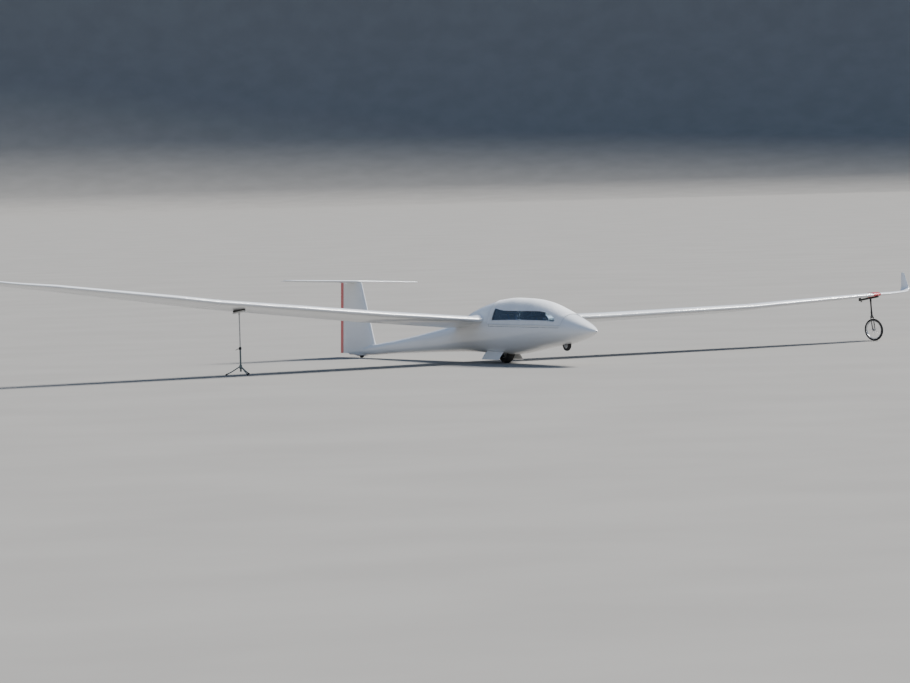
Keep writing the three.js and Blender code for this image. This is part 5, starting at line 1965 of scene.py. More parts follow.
@dataclass
class Seat:
    """One seat: a moulded pan, cushions with sewn channels, a headrest pad and a harness."""

    shop: Workshop
    name: str
    front: tuple[tuple[float, float], ...]  # the pan's upper line in the side view, as (y, z), from knee to head
    neck: float
    thick: float = 0.026
    wall: float = 0.0205
    sill: float = 0.620
    back_half: float = 0.215
    head_half: float = 0.110
    fine: int = 200  # steps along its middle line, for cushions and straps
    buckle_at: int = 76  # of these steps
    shoulder_at: int = 166
    strap: float = 0.0225  # half its width
    strap_flat: float = 0.07

    def line(self, count: int) -> list[Vector]:
        """Points along the middle of the pan, rounded at its bends.

        Args:
            count: how many steps lie between its ends.

        Returns:
            The points, from knee to head.
        """
        places = [Vector((0.0, y, z)) for y, z in self.front]
        lengths = [0.0]
        for before, after in zip(places, places[1:]):
            lengths.append(lengths[-1] + (after - before).length)
        made = []
        for at in spread(0.0, lengths[-1], count):
            total = Vector()
            for shift in (-0.03, -0.015, 0.0, 0.015, 0.03):
                want = min(max(at + shift, 0.0), lengths[-1])
                index = max(i for i in range(len(places) - 1) if lengths[i] <= want + 1e-9)
                share = (want - lengths[index]) / (lengths[index + 1] - lengths[index])
                total += places[index].lerp(places[index + 1], share)
            made.append(total / 5)
        made[0], made[-1] = places[0], places[-1]
        return made

    def half_at(self, place: Vector) -> float:
        """Half the pan's width, which follows the hull low down and the back's shape above the sill.

        Args:
            place: a point of its middle line.

        Returns:
            The half width there.
        """
        _, bottom, half, wide = HULL.sizes(place.y)
        depth = (wide - place.z + 0.020) / (wide - bottom - self.wall)
        room = (half - self.wall) * (1 - min(max(depth, 0.0), 0.98) ** HULL_EXPONENT) ** (1 / HULL_EXPONENT) - 0.003
        if place.z < self.sill:
            return room
        if place.z < self.neck:
            return self.back_half
        return self.head_half

    def pan(self) -> None:
        """The moulded pan, with raised side bolsters."""
        rings = []
        line = self.line(64)
        for index, here in enumerate(line):
            ahead = (line[min(index + 1, 64)] - line[max(index - 1, 0)]).normalized()
            over = X_AXIS.cross(ahead).normalized()
            around = line[max(index - 2, 0):index + 3]
            half = sum(self.half_at(place) for place in around) / len(around)
            top, under = [], []
            for share in spread(-1.0, 1.0, 24):
                rise = 0.016 * abs(share) ** 5
                edge = 1.0 if abs(share) < 0.99 else 0.5
                middle = here + X_AXIS * (half * share)
                top.append(middle + over * (rise - self.thick * (1 - edge) / 2))
                under.append(middle + over * (rise - self.thick * edge))
            rings.append(top + under[::-1])
        self.shop.piece(f"{self.name}_pan", lofted(rings), Finish.LINING, replaces=(self.name,))

    def cushion(self, name: str, start: float, end: float, half: float, thick: float, channels: int) -> None:
        """A cushion on the pan, between two shares of its length, swollen between its sewn channels.

        Args:
            name: the cushion's name.
            start: where it begins, as a share of the pan's length.
            end: where it ends.
            half: half its width.
            thick: its greatest thickness.
            channels: how many swollen rolls it has.
        """
        picked = self.line(self.fine)[round(start * self.fine):round(end * self.fine) + 1]
        rings = []
        last = len(picked) - 1
        for index, here in enumerate(picked):
            share = index / last
            ahead = (picked[min(index + 1, last)] - picked[max(index - 1, 0)]).normalized()
            over = X_AXIS.cross(ahead).normalized()
            pull = 1 - 0.05 * math.sin(HALF_TURN * share)
            ends = max(1 - abs(2 * share - 1) ** 7, 0.02) ** 0.5
            roll = abs(math.sin(HALF_TURN * share * channels)) ** 0.35
            top, under = [], []
            for across in spread(-1.0, 1.0, 40):
                crown = max(1 - abs(across) ** 5, 0.02) ** 0.5
                swell = thick * ends * crown * (0.72 + 0.28 * roll)
                crease = 0.0025 * noise.noise(Vector((across * 3.1, share * 9.0, 2.7 * half)))
                middle = here + X_AXIS * (half * across * pull) + over * 0.0012
                top.append(middle + over * (swell + crease * crown * ends))
                under.append(middle)
            rings.append(top + under[::-1][1:-1])
        made = self.shop.piece(name, lofted(rings), Finish.SEAT, sharp=70.0)

    def harness(self) -> None:
        """Two shoulder straps and a lap belt that meet in a round buckle."""
        bm, metal = bmesh.new(), bmesh.new()
        line = self.line(self.fine)
        here = line[self.buckle_at]
        ahead = (line[self.buckle_at + 1] - line[self.buckle_at - 1]).normalized()
        upright = X_AXIS.cross(ahead).normalized()
        for sign in (-1, 1):
            path = []
            for index in range(self.buckle_at, self.shoulder_at, 3):
                over = X_AXIS.cross((line[index + 1] - line[index - 1]).normalized()).normalized()
                apart = blend(0.020, 0.075, min((index - self.buckle_at) / 50, 1.0))
                path.append(line[index] + over * 0.052 + X_AXIS * (sign * apart))
            pipe(bm, path, self.strap, 12, self.strap_flat, Y_AXIS * -0.8 + Z_AXIS * 0.6)
            middle, corner = path[len(path) // 2], Vector((0.027, 0.004, 0.016))
            block(metal, middle - corner, middle + corner, 0.002)
            lap = [
                here + Vector((sign * x, 0.02 - 0.02 * x / 0.2, 0.056 - 0.10 * (x / 0.2) ** 2))
                for x in spread(0.02, 0.20, 10)
            ]
            pipe(bm, lap, self.strap, 12, self.strap_flat, Z_AXIS + Y_AXIS * -0.4)
        rod(metal, here + upright * 0.050, here + upright * 0.062, 0.030, sides=40, edge=0.002)
        rod(metal, here + upright * 0.062, here + upright * 0.066, 0.022, sides=40, edge=0.001)
        self.shop.piece(f"{self.name}_harness", bm, Finish.WEBBING, sharp=60.0)
        self.shop.piece(f"{self.name}_buckle", metal, Finish.STEEL)

    def build(self) -> None:
        """Builds the seat."""
        self.pan()
        self.cushion(f"{self.name}_seat_cushion", 0.03, 0.34, half=0.190, thick=0.042, channels=4)
        self.cushion(f"{self.name}_back_cushion", 0.38, 0.84, half=0.185, thick=0.038, channels=5)
        self.cushion(f"{self.name}_head_pad", 0.895, 0.985, half=0.092, thick=0.034, channels=1)
        self.harness()


@dataclass
class Panel:
    """One instrument panel: board, dials, radio, hood and pedestal."""

    shop: Workshop
    name: str
    y: float
    top: float
    foot: float
    half: float = 0.150
    cheek: float = 0.0  # how much wider its hood is, each side, with side cheeks
    thick: float = 0.036
    height: float = 0.190

    def dial(self, face: bmesh.types.BMesh, marks: bmesh.types.BMesh, x: float, z: float, radius: float,
             hand: float) -> None:
        """Adds a round instrument: bezel, sunk face, ticks and a needle.

        Args:
            face: the mesh of the dials.
            marks: the mesh of their marks.
            x: its middle, across.
            z: its middle, in height.
            radius: its radius.
            hand: the angle of its needle.
        """
        rear = self.y + self.thick / 2
        ring = bmesh.new()
        spun(ring, [(0.0, radius), (0.004, radius - 0.001), (0.004, radius - 0.005), (0.0005, radius - 0.007),
                    (0.0005, 0.0005), (0.0, 0.0005)], 48)
        add_mesh(face, ring, Matrix.Translation((x, rear, z)) @ Matrix.Rotation(HALF_TURN / 2, 4, "Z"))
        for turn in full_circle(12):
            way = Vector((math.cos(turn), 0.0, math.sin(turn)))
            centre = Vector((x, rear + 0.0011, z))
            rod(marks, centre + way * (radius * 0.66), centre + way * (radius * 0.80), 0.0006, sides=6)
        way = Vector((math.cos(hand), 0.0, math.sin(hand)))
        centre = Vector((x, rear + 0.0020, z))
        rod(marks, centre - way * (radius * 0.12), centre + way * (radius * 0.60), 0.0011, 0.0004, sides=8)

    def build(self) -> None:
        """Builds the panel."""
        bm, face, marks = bmesh.new(), bmesh.new(), bmesh.new()
        front, rear = self.y - self.thick / 2, self.y + self.thick / 2
        block(bm, (-self.half, front, self.top - self.height), (self.half, rear, self.top), 0.004)
        block(bm, (-0.060, self.y - 0.040, self.foot), (0.060, self.y + 0.010, self.top - 0.020), 0.006)
        hood = []
        reach = self.half + self.cheek
        start, end = self.y - 0.070, self.y + 0.030
        for y in (start, start + 0.004, *spread(self.y - 0.05, self.y + 0.02, 5), end - 0.004, end):
            thin = 0.4 if y in (start, end) else 1.0
            over, under = [], []
            for share in spread(-1.0, 1.0, 24):
                crown = self.top + 0.012 - 0.020 * abs(share) ** 4
                over.append(Vector(((reach + 0.012) * share, y, crown)))
                under.append(Vector(((reach + 0.012) * share, y, crown - 0.010 * thin)))
            hood.append(over + under[::-1])
        add_mesh(bm, lofted(hood))
        if self.cheek:
            for way in (-1, 1):
                inner, outer = sorted((way * (reach + 0.004), way * (reach + 0.011)))
                block(bm, (inner, start + 0.004, self.top - 0.200), (outer, end - 0.004, self.top + 0.002), 0.003)
        layout = (
            (-0.098, -0.052, 0.0395, 2.2), (0.0, -0.052, 0.0395, 0.9), (0.098, -0.052, 0.0395, 3.6),
            (-0.110, -0.130, 0.0285, 4.0), (-0.045, -0.136, 0.0285, 1.4), (0.110, -0.130, 0.0285, 5.2),
        )
        for x, drop, radius, hand in layout:
            self.dial(face, marks, x * self.half / 0.150, self.top + drop, radius, hand)
        z = self.top - 0.136
        block(face, (0.000, rear, z - 0.024), (0.064, rear + 0.012, z + 0.024), 0.002)
        block(marks, (0.010, rear + 0.0115, z + 0.002), (0.040, rear + 0.0125, z + 0.016), 0.0003)
        for x in (0.014, 0.050):
            knob = Vector((x, rear + 0.011, z - 0.012))
            rod(face, knob, knob + Y_AXIS * 0.013, 0.0065, sides=24, edge=0.001)
        for sign in (-1, 1):
            for drop in (0.010, 0.180):
                spot = Vector((sign * (self.half - 0.008), rear, self.top - drop))
                rod(face, spot, spot + Y_AXIS * 0.003, 0.0035, sides=20, edge=0.0008)
        self.shop.piece(f"{self.name}_board", bm, Finish.BLACK, replaces=(self.name,))
        self.shop.piece(f"{self.name}_dials", face, Finish.DIAL)
        self.shop.piece(f"{self.name}_marks", marks, Finish.MARK)


@dataclass
class Stick:
    """One control stick, with a shaped grip and a gaiter at its foot."""

    shop: Workshop
    name: str
    y: float
    foot: float
    top: float
    rake: float = 0.030

    def build(self) -> None:
        """Builds the stick."""
        foot, head = Vector((0.0, self.y, self.foot)), Vector((0.0, self.y + self.rake, self.top))
        way = (head - foot).normalized()
        turn = way.to_track_quat("Z", "Y").to_matrix().to_4x4()
        bm = bmesh.new()
        rod(bm, foot, head - way * 0.05, 0.009, sides=24)
        grip = []
        for share in spread(0.0, 1.0, 20):
            waves = 1 + 0.07 * math.cos(share * 22.0)
            end = max(1 - abs(2 * share - 1) ** 8, 0.03) ** 0.5
            size = blend(0.0125, 0.0155, share) * waves * end
            grip.append([
                Vector((size * math.cos(a), size * 1.12 * math.sin(a), -0.090 + 0.102 * share))
                for a in full_circle(28)
            ])
        add_mesh(bm, lofted(grip), Matrix.Translation(head) @ turn)
        boot = []
        for share in spread(0.0, 1.0, 16):
            size = blend(0.040, 0.011, share ** 0.6) * (1 + 0.10 * math.cos(share * 44.0))
            boot.append([
                Vector((size * math.cos(a), size * math.sin(a), 0.085 * share))
                for a in full_circle(28)
            ])
        add_mesh(bm, lofted(boot), Matrix.Translation(foot) @ turn)
        self.shop.piece(f"{self.name}_grip", bm, Finish.BLACK, replaces=(self.name,))


@dataclass
class Cockpit:
    """Seats, panels and sticks in the fuselage."""

    shop: Workshop

    def build(self) -> None:
        """Builds the cockpit."""
        Seat(
            self.shop, "front_seat", neck=0.880,
            front=((1.162, 0.492), (1.500, 0.432), (1.610, 0.440), (1.880, 0.850), (1.925, 0.985)),
        ).build()
        Seat(
            self.shop, "rear_seat", neck=0.925,
            front=((2.107, 0.552), (2.440, 0.496), (2.550, 0.504), (2.790, 0.890), (2.836, 1.030)),
        ).build()
        Panel(self.shop, "front_instrument_panel", y=1.010, top=0.828, foot=0.489).build()
        Panel(
            self.shop, "rear_instrument_panel", y=2.030, top=0.935, foot=0.234, half=0.195, cheek=0.034,
        ).build()
        Stick(self.shop, "front_control_stick", y=1.092, foot=0.366, top=0.610).build()
        Stick(self.shop, "rear_control_stick", y=2.160, foot=0.560, top=0.700).build()


# Ground equipment


def under_wing(side: Side, x: float, y: float, below: float) -> Vector:
    """A point below the wing's lower skin, at a span and a station."""
    chord = wing_chord(side, x)
    share = (y - chord.lead.y) / (chord.aft.y * chord.length)
    return chord.at(share, -1, below)


def rounded(bm: bmesh.types.BMesh, path: Sequence[Vector], radius: float, bend: float, sides: int = 24) -> None:
    """Adds a tube along straight runs.

    Args:
        bm: the mesh that it is added to.
        path: its ends and bends.
        radius: its radius.
        bend: how far from each bend its rounding starts.
        sides: points round it.
    """
    places = [path[0]]
    for before, here, after in zip(path, path[1:], path[2:]):
        start = here + (before - here).normalized() * bend
        end = here + (after - here).normalized() * bend
        for share in spread(0.0, 1.0, 8):
            places.append(start.lerp(here, share).lerp(here.lerp(end, share), share))
    places.append(path[-1])
    pipe(bm, places, radius, sides)


@dataclass
class WingStand:
    """The tripod stand under the starboard wing, with its padded head."""

    shop: Workshop
    x: float = -5.115
    y: float = 3.650
    pad: tuple[float, float, float] = (0.370, 0.062, 0.036)
    pad_sunk: float = 0.008
    crossbar: tuple[float, float, float] = (0.394, 0.040, 0.022)
    inner_radius: float = 0.011
    inner_foot: float = 0.290
    outer_radius: float = 0.016
    outer_solid: float = 0.19  # how far below its top its bore narrows
    outer_span: tuple[float, float] = (0.060, 0.480)
    hub_z: float = 0.150
    headings: tuple[float, float, float] = (147.4, 267.4, 27.4)
    leg_radius: float = 0.010
    knee: tuple[float, float] = (0.146, 0.070)
    toe: tuple[float, float] = (0.265, 0.012)

    def head_frame(self, below: float) -> Matrix:
        """A frame under the wing: X along the span, Y aft along the chord, Z up into the wing."""
        aft = wing_chord(Side.STARBOARD, -self.x).aft
        return frame_at(under_wing(Side.STARBOARD, -self.x, self.y, below), X_AXIS, aft, X_AXIS.cross(aft))

    def head(self) -> None:
        """The pad and the crossbar under it."""
        length, width, height = self.pad
        bm = bmesh.new()
        rings = []
        for share in spread(-1.0, 1.0, 48):
            end = max(1 - abs(share) ** 24, 0.03) ** 0.5
            squash = 1 + 0.012 * noise.noise(Vector((share * 6.0, 0.4, 0.0)))
            ring = []
            for turn in full_circle(40):
                power = 0.42
                across = math.copysign(abs(math.cos(turn)) ** power, math.cos(turn))
                up = math.copysign(abs(math.sin(turn)) ** power, math.sin(turn))
                ring.append(Vector((width / 2 * across * end, length / 2 * share, height / 2 * up * end * squash)))
            rings.append(ring)
        middle = -self.pad_sunk + height / 2
        frame = self.shop.airframe @ self.head_frame(middle)
        into = self.head_frame(middle).inverted()
        add_mesh(bm, lofted(rings))
        chord = wing_chord(Side.STARBOARD, -self.x)
        for vert in bm.verts:
            along = (self.y - chord.lead.y) + vert.co.y
            share = min(max(along / (chord.aft.y * chord.length), 0.02), 0.98)
            vert.co.z = min(vert.co.z, (into @ chord.at(share, -1, 0.0004)).z)
        self.shop.piece(
            "wing_stand_padding", bm, Finish.PADDING, replaces=("wing_stand_pad",), frame=frame, sharp=50.0,
        )
        length, width, height = self.crossbar
        bm = bmesh.new()
        block(bm, (-width / 2, -length / 2, -height / 2), (width / 2, length / 2, height / 2), 0.003)
        for sign in (-1, 1):
            inner, outer = sorted((sign * length / 2, sign * (length / 2 + 0.002)))
            across, up = width / 2 - 0.003, height / 2 - 0.003
            block(bm, (-across, inner, -up), (across, outer, up))
        below = -self.pad_sunk + self.pad[2] + GAP + height / 2
        frame = self.shop.airframe @ self.head_frame(below)
        self.shop.piece("wing_stand_crossbar_tube", bm, Finish.STEEL, replaces=("wing_stand_crossbar",), frame=frame)

    def foot_point(self) -> Vector:
        """The middle of the crossbar's underside in the shared frame."""
        below = -self.pad_sunk + self.pad[2] + self.crossbar[2] + 2 * GAP
        return self.shop.airframe @ under_wing(Side.STARBOARD, -self.x, self.y, below)

    def build(self) -> None:
        """Builds the stand."""
        self.head()
        head = self.foot_point()

        def at(z: float) -> Vector:
            """A point on the stand's upright."""
            return Vector((head.x, head.y, z))

        top = head.z - 0.006
        bm = bmesh.new()
        rod(bm, at(self.inner_foot), at(top), self.inner_radius, sides=32)
        rod(bm, at(top - 0.040), at(top - 0.004), self.inner_radius + 0.0015, 0.020, sides=32, edge=0.001)
        for z in spread(0.56, top - 0.10, 7):
            hole = Y_AXIS * (self.inner_radius + 0.0002)
            rod(bm, at(z) - hole, at(z) - hole * 0.8, 0.0034, sides=16)
        self.shop.piece(
            "wing_stand_inner_post", bm, Finish.STEEL, replaces=("wing_stand_inner_tube",), frame=SHARED_FRAME,
        )
        low, high = self.outer_span
        outer, bore, core = self.outer_radius, self.inner_radius + 0.0004, 0.0020
        bm = bmesh.new()
        turned(bm, [
            (low, outer - 0.0015), (low, outer), (high, outer), (high, bore), (high - self.outer_solid, bore),
            (high - self.outer_solid, core), (low, core),
        ], at(0.0))
        self.shop.piece(
            "wing_stand_outer_post", bm, Finish.TUBE, replaces=("wing_stand_outer_tube",), frame=SHARED_FRAME,
        )
        self.clamp(at, high)
        self.tripod(at)

    def clamp(self, at: Callable[[float], Vector], top: float) -> None:
        """The collar that holds the inner tube, with its lever.

        Args:
            at: gives the point of the upright at a height.
            top: the height of the outer tube's top.
        """
        bm = bmesh.new()
        turned(bm, [
            (-0.030, 0.0164), (-0.030, 0.0215), (-0.027, 0.0235), (0.008, 0.0235), (0.014, 0.0200), (0.016, 0.0180),
            (0.016, 0.0114), (0.0004, 0.0114), (0.0004, 0.0164),
        ], at(top))
        out = Vector((-0.070, 0.046, -0.024))
        side = out.cross(Z_AXIS).normalized()
        root = at(top - 0.014) + out * 0.24
        block(bm, root - Vector((0.008, 0.008, 0.010)), root + Vector((0.008, 0.008, 0.012)), 0.002)
        lever = [at(top - 0.004) + out * share - Z_AXIS * (0.012 * share * share) for share in spread(0.26, 0.98, 10)]
        pipe(bm, lever, 0.0075, 20, 0.62, Z_AXIS)
        pin = at(top - 0.012) + out * 0.24
        rod(bm, pin - side * 0.014, pin + side * 0.014, 0.004, sides=20, edge=0.0008)
        self.shop.piece(
            "wing_stand_collar", bm, Finish.BLACK, replaces=("wing_stand_clamp",), frame=SHARED_FRAME,
        )

    def tripod(self, at: Callable[[float], Vector]) -> None:
        """The hub with its three bent legs and rubber feet.

        Args:
            at: gives the point of the upright at a height.
        """
        bm, feet = bmesh.new(), bmesh.new()
        turned(bm, [
            (self.hub_z - 0.040, 0.0164), (self.hub_z - 0.040, 0.0235), (self.hub_z - 0.037, 0.0250),
            (self.hub_z + 0.027, 0.0250), (self.hub_z + 0.030, 0.0235), (self.hub_z + 0.030, 0.0164),
        ], at(0.0))
        for heading in self.headings:
            turn = math.radians(heading)
            out = Vector((math.cos(turn), math.sin(turn), 0.0))
            root = at(self.hub_z) + out * 0.020
            knee = at(self.knee[1]) + out * self.knee[0]
            toe = at(self.toe[1]) + out * self.toe[0]
            rounded(bm, [root, knee, toe], self.leg_radius, 0.03)
            way = (toe - knee).normalized()
            own = bmesh.new()
            rod(own, toe - way * 0.034, toe + way * 0.006, self.leg_radius + 0.003, sides=32, edge=0.003)
            for vert in own.verts:
                vert.co.z = max(vert.co.z, 0.0)
            add_mesh(feet, own)
            side = out.cross(Z_AXIS)
            pin = at(self.hub_z - 0.004) + out * 0.026
            hexed(bm, pin - side * 0.012, pin + side * 0.012, 0.005)
        self.shop.piece(
            "wing_stand_legs", bm, Finish.TUBE, replaces=("wing_stand_tripod",), frame=SHARED_FRAME,
        )
        self.shop.piece("wing_stand_feet", feet, Finish.RUBBER, frame=SHARED_FRAME)


@dataclass
class WingWheel:
    """The castoring wheel that is clamped to the port wing."""

    shop: Workshop
    x: float = 8.870
    trail: float = 0.028
    tyre_radius: float = 0.214
    tyre_section: float = 0.020
    rim_bed: float = 0.178
    hub_half: float = 0.026
    spokes: int = 28
    axle_radius: float = 0.006
    axle_half: float = 0.050
    fork_half: float = 0.038
    crown: float = 0.232
    head: tuple[float, float] = (0.276, 0.350)
    shell_length: float = 0.200
    shell_thick: float = 0.008
    shell_share: float = 0.36
    beam: tuple[float, float, float] = (0.046, 0.034, 0.022)
    beam_centre: float = 0.52
    beam_share: float = 1.06

    def castor_frame(self) -> Matrix:
        """The castor's frame: Z along its upright, X along the wheel's axle, Y behind it, at axle height."""
        swivel, spin = self.shop.joints["wing_wheel_swivel"], self.shop.joints["wing_wheel_spin"]
        up, across = Vector(swivel["axis"]).normalized(), Vector(spin["axis"]).normalized()
        return frame_at(swivel["pos_m"], across, up.cross(across), up)

    def wheel(self) -> None:
        """The tyre, and the spoked rim with its hub."""
        frame = self.castor_frame() @ Matrix.Translation((0.0, self.trail, 0.0))
        middle = self.tyre_radius - self.tyre_section
        profile = []
        for turn in spread(-0.86 * HALF_TURN, 0.86 * HALF_TURN, 36):
            size = self.tyre_section - (0.0009 if abs(turn) < 0.9 and round(turn * 20) % 3 == 0 else 0.0)
            profile.append((size * math.sin(turn), middle + size * math.cos(turn)))
        profile = [(offset, max(height, self.rim_bed)) for offset, height in profile]
        bm = bmesh.new()
        spun(bm, profile, 144)
        self.shop.piece(
            "wing_wheel_tyre_tread", bm, Finish.RUBBER, "wing_wheel", ("wing_wheel_tyre",), frame, 40.0,
        )
        bm = bmesh.new()
        bed = self.rim_bed - GAP
        spun(bm, [
            (-0.014, bed), (-0.0142, bed - 0.003), (-0.0128, bed - 0.0125), (-0.0095, bed - 0.0158),
            (0.0095, bed - 0.0158), (0.0128, bed - 0.0125), (0.0142, bed - 0.003), (0.014, bed), (0.010, bed),
            (0.008, bed - 0.004), (-0.008, bed - 0.004), (-0.010, bed),
        ], 144)
        own = bmesh.new()
        spun(own, [
            (-self.hub_half, 0.0068), (-self.hub_half, 0.011), (-self.hub_half + 0.004, 0.0125),
            (-0.019, 0.0125), (-0.018, 0.0200), (-0.0155, 0.0200), (-0.0145, 0.0105), (0.0145, 0.0105),
            (0.0155, 0.0200), (0.018, 0.0200), (0.019, 0.0125), (self.hub_half - 0.004, 0.0125),
            (self.hub_half, 0.011), (self.hub_half, 0.0068),
        ], 48)
        add_mesh(bm, own)
        for step, turn in enumerate(full_circle(self.spokes)):
            lean = 0.55 if step % 4 < 2 else -0.55
            side = 0.0168 if step % 2 else -0.0168
            root, end = turn + lean, turn + 0.02 * (1 if lean > 0 else -1)
            start = Vector((side, 0.0175 * math.cos(root), 0.0175 * math.sin(root)))
            stop = Vector((side * 0.18, (bed - 0.014) * math.cos(end), (bed - 0.014) * math.sin(end)))
            rod(bm, start, stop, 0.0011, sides=8)
            way = (start - stop).normalized()
            rod(bm, stop, stop + way * 0.014, 0.0021, 0.0017, sides=8)
        self.shop.piece("wing_wheel_rim_spokes", bm, Finish.ALLOY, "wing_wheel", ("wing_wheel_rim",), frame)

    def castor(self) -> None:
        """The sprung fork with its crowns, and the axle with its nuts."""
        frame = self.castor_frame()
        bm = bmesh.new()
        crown = self.crown
        for sign in (-1, 1):
            foot = Vector((sign * self.fork_half, self.trail, 0.0))
            head = Vector((sign * self.fork_half, 0.002, crown + 0.006))
            way = (head - foot).normalized()
            rod(bm, foot + way * 0.010, foot + way * 0.135, 0.0095, sides=28, edge=0.001)
            rod(bm, foot + way * 0.128, foot + way * 0.142, 0.0115, sides=28, edge=0.002)
            rod(bm, foot + way * 0.135, head, 0.0068, sides=28)
            rod(bm, head - way * 0.004, head + way * 0.034, 0.0085, 0.0070, sides=28, edge=0.002)
            drop = [
                (self.trail - 0.012, -0.013), (self.trail + 0.012, -0.013), (self.trail + 0.012, 0.010),
                (self.trail + 0.006, 0.022), (self.trail - 0.008, 0.022), (self.trail - 0.012, 0.010),
            ]
            plate(bm, drop, sign * self.fork_half - 0.004, sign * self.fork_half + 0.004, 0.001)
        own = bmesh.new()
        arch = [
            Vector((x, 0.002 + 0.004 * (x / 0.05) ** 2, crown + 0.010 - 6.0 * x * x)) for x in spread(-0.05, 0.05, 16)
        ]
        pipe(own, arch, 0.013, 24, 0.75, Y_AXIS)
        add_mesh(bm, own)
        foot, top = self.head
        rod(bm, Z_AXIS * crown, Z_AXIS * (top - 0.012), 0.012, sides=32)
        rod(bm, Z_AXIS * (foot - 0.014), Z_AXIS * (foot - 0.006), 0.0175, sides=32, edge=0.0015)
        self.shop.piece(
            "wing_wheel_sprung_fork", bm, Finish.BLACK, "wing_wheel_castor", ("wing_wheel_fork",), frame,
        )
        bm = bmesh.new()
        end = Vector((self.axle_half, 0.0, 0.0))
        middle = Vector((0.0, self.trail, 0.0))
        rod(bm, middle - end * 0.98, middle + end * 0.98, self.axle_radius - 0.0003, sides=24, edge=0.0008)
        for sign in (-1, 1):
            hexed(bm, middle + end * sign * 0.845, middle + end * sign * 0.975, 0.0105)
            rod(bm, middle + end * sign * 0.845, middle + end * sign * 0.87, 0.0120, sides=28, edge=0.0004)
        self.shop.piece(
            "wing_wheel_spindle", bm, Finish.STEEL, "wing_wheel_castor", ("wing_wheel_axle",), frame,
        )

    def beam_frame(self) -> Matrix:
        """The clamp bar's frame: X along the span, Y aft along the chord, Z up, at the bar's middle."""
        chord = wing_chord(Side.PORT, self.x)
        y = chord.lead.y + chord.length * self.beam_centre
        return frame_at(under_wing(Side.PORT, self.x, y, self.beam[2]), X_AXIS, chord.aft, X_AXIS.cross(chord.aft))

    def post(self) -> None:
        """The upright between the castor's bearing and the clamp bar."""
        frame = self.castor_frame()
        into = frame.inverted() @ self.shop.airframe @ self.beam_frame()
        foot, top = self.head
        lid = into @ (Z_AXIS * (-self.beam[1] / 2 - GAP))
        normal = (into.to_3x3() @ Z_AXIS).normalized()
        drop = lid.dot(normal) / normal.z
        bm = bmesh.new()
        turned(bm, [
            (foot, 0.0128), (foot, 0.0185), (foot + 0.003, 0.0205), (foot + 0.012, 0.0205), (foot + 0.014, 0.0190),
            (top - 0.014, 0.0190), (top - 0.012, 0.0205), (top - 0.003, 0.0205), (top, 0.0185), (top, 0.0128),
        ], Vector())
        rod(bm, Z_AXIS * (top - 0.006), Z_AXIS * drop, 0.0150, sides=40)
        rod(bm, Z_AXIS * (drop - 0.055), Z_AXIS * (drop - 0.006), 0.0185, sides=40, edge=0.002)
        for vert in bm.verts:
            over = (vert.co - lid).dot(normal)
            if over > -0.002:
                vert.co.z -= (over + 0.0002) / normal.z
        self.shop.piece(
            "wing_wheel_upright", bm, Finish.BLACK, replaces=("wing_wheel_post",), frame=frame,
        )

    def clamp(self) -> None:
        """The red leading edge shell, and the bar under the wing with its hook and strap."""
        rings = []
        stations = spread(self.x - self.shell_length / 2, self.x + self.shell_length / 2, 14)
        for index, x in enumerate([stations[0] + 0.0005, *stations, stations[-1] - 0.0005]):
            chord = wing_chord(Side.PORT, x)
            thick = self.shell_thick * (0.25 if index in (0, 15) else 1.0)
            outer = front_path(chord, self.shell_share, thick)
            for place in outer:
                near = max(0.0, 1 - (place - chord.lead).length / 0.03)
                place -= chord.aft * (thick * near)
            rings.append(outer + front_path(chord, self.shell_share, 0.0006)[::-1])
        self.shop.piece("wing_wheel_shell", lofted(rings), Finish.RED, replaces=("wing_wheel_clamp_shell",))

        chord = wing_chord(Side.PORT, self.x)
        width, height, _ = self.beam
        half = chord.length * self.beam_share / 2
        bm = bmesh.new()
        block(bm, (-width / 2, -half, -height / 2), (width / 2, half, height / 2), 0.003)
        frame = self.beam_frame()
        into = frame.inverted()
        for vert in bm.verts:
            place = frame @ vert.co
            share = (place.y - chord.lead.y) / (chord.aft.y * chord.length)
            if 0.0 < share < 1.0:
                cover = self.shell_thick if share < self.shell_share + 0.02 else 0.0
                vert.co.z = min(vert.co.z, (into @ chord.at(share, -1, cover + 0.0008)).z)
        _, y, z = into @ (chord.at(1.0, 0) + chord.aft * 0.012 - chord.up * 0.016)
        block(bm, (-width / 2, y - 0.009, z - 0.043), (width / 2, y + 0.009, z + 0.043), 0.003)
        self.shop.piece(
            "wing_wheel_bar", bm, Finish.BLACK, replaces=("wing_wheel_clamp_bar",), frame=self.shop.airframe @ frame,
        )
        self.knob(frame, half)

    def knob(self, frame: Matrix, half: float) -> None:
        """The clamping screw with its star knob, under the bar's rear end.

        Args:
            frame: the bar's frame.
            half: half the bar's length.
        """
        bm = bmesh.new()
        foot = Vector((0.0, half * 0.80, -self.beam[1] / 2))
        rod(bm, foot + Z_AXIS * 0.002, foot - Z_AXIS * 0.016, 0.004, sides=16)
        rings = []
        for z, size in ((-0.014, 0.008), (-0.016, 0.016), (-0.026, 0.017), (-0.028, 0.012)):
            ring = []
            for turn in full_circle(60):
                out = size * (1 + 0.14 * math.cos(5 * turn))
                ring.append(foot + Vector((out * math.cos(turn), out * math.sin(turn), z)))
            rings.append(ring)
        add_mesh(bm, lofted(rings))
        self.shop.piece("wing_wheel_clamp_knob", bm, Finish.BLACK, frame=self.shop.airframe @ frame)

    def build(self) -> None:
        """Builds the wing wheel."""
        self.wheel()
        self.castor()
        self.clamp()
        self.post()


# The photograph's view


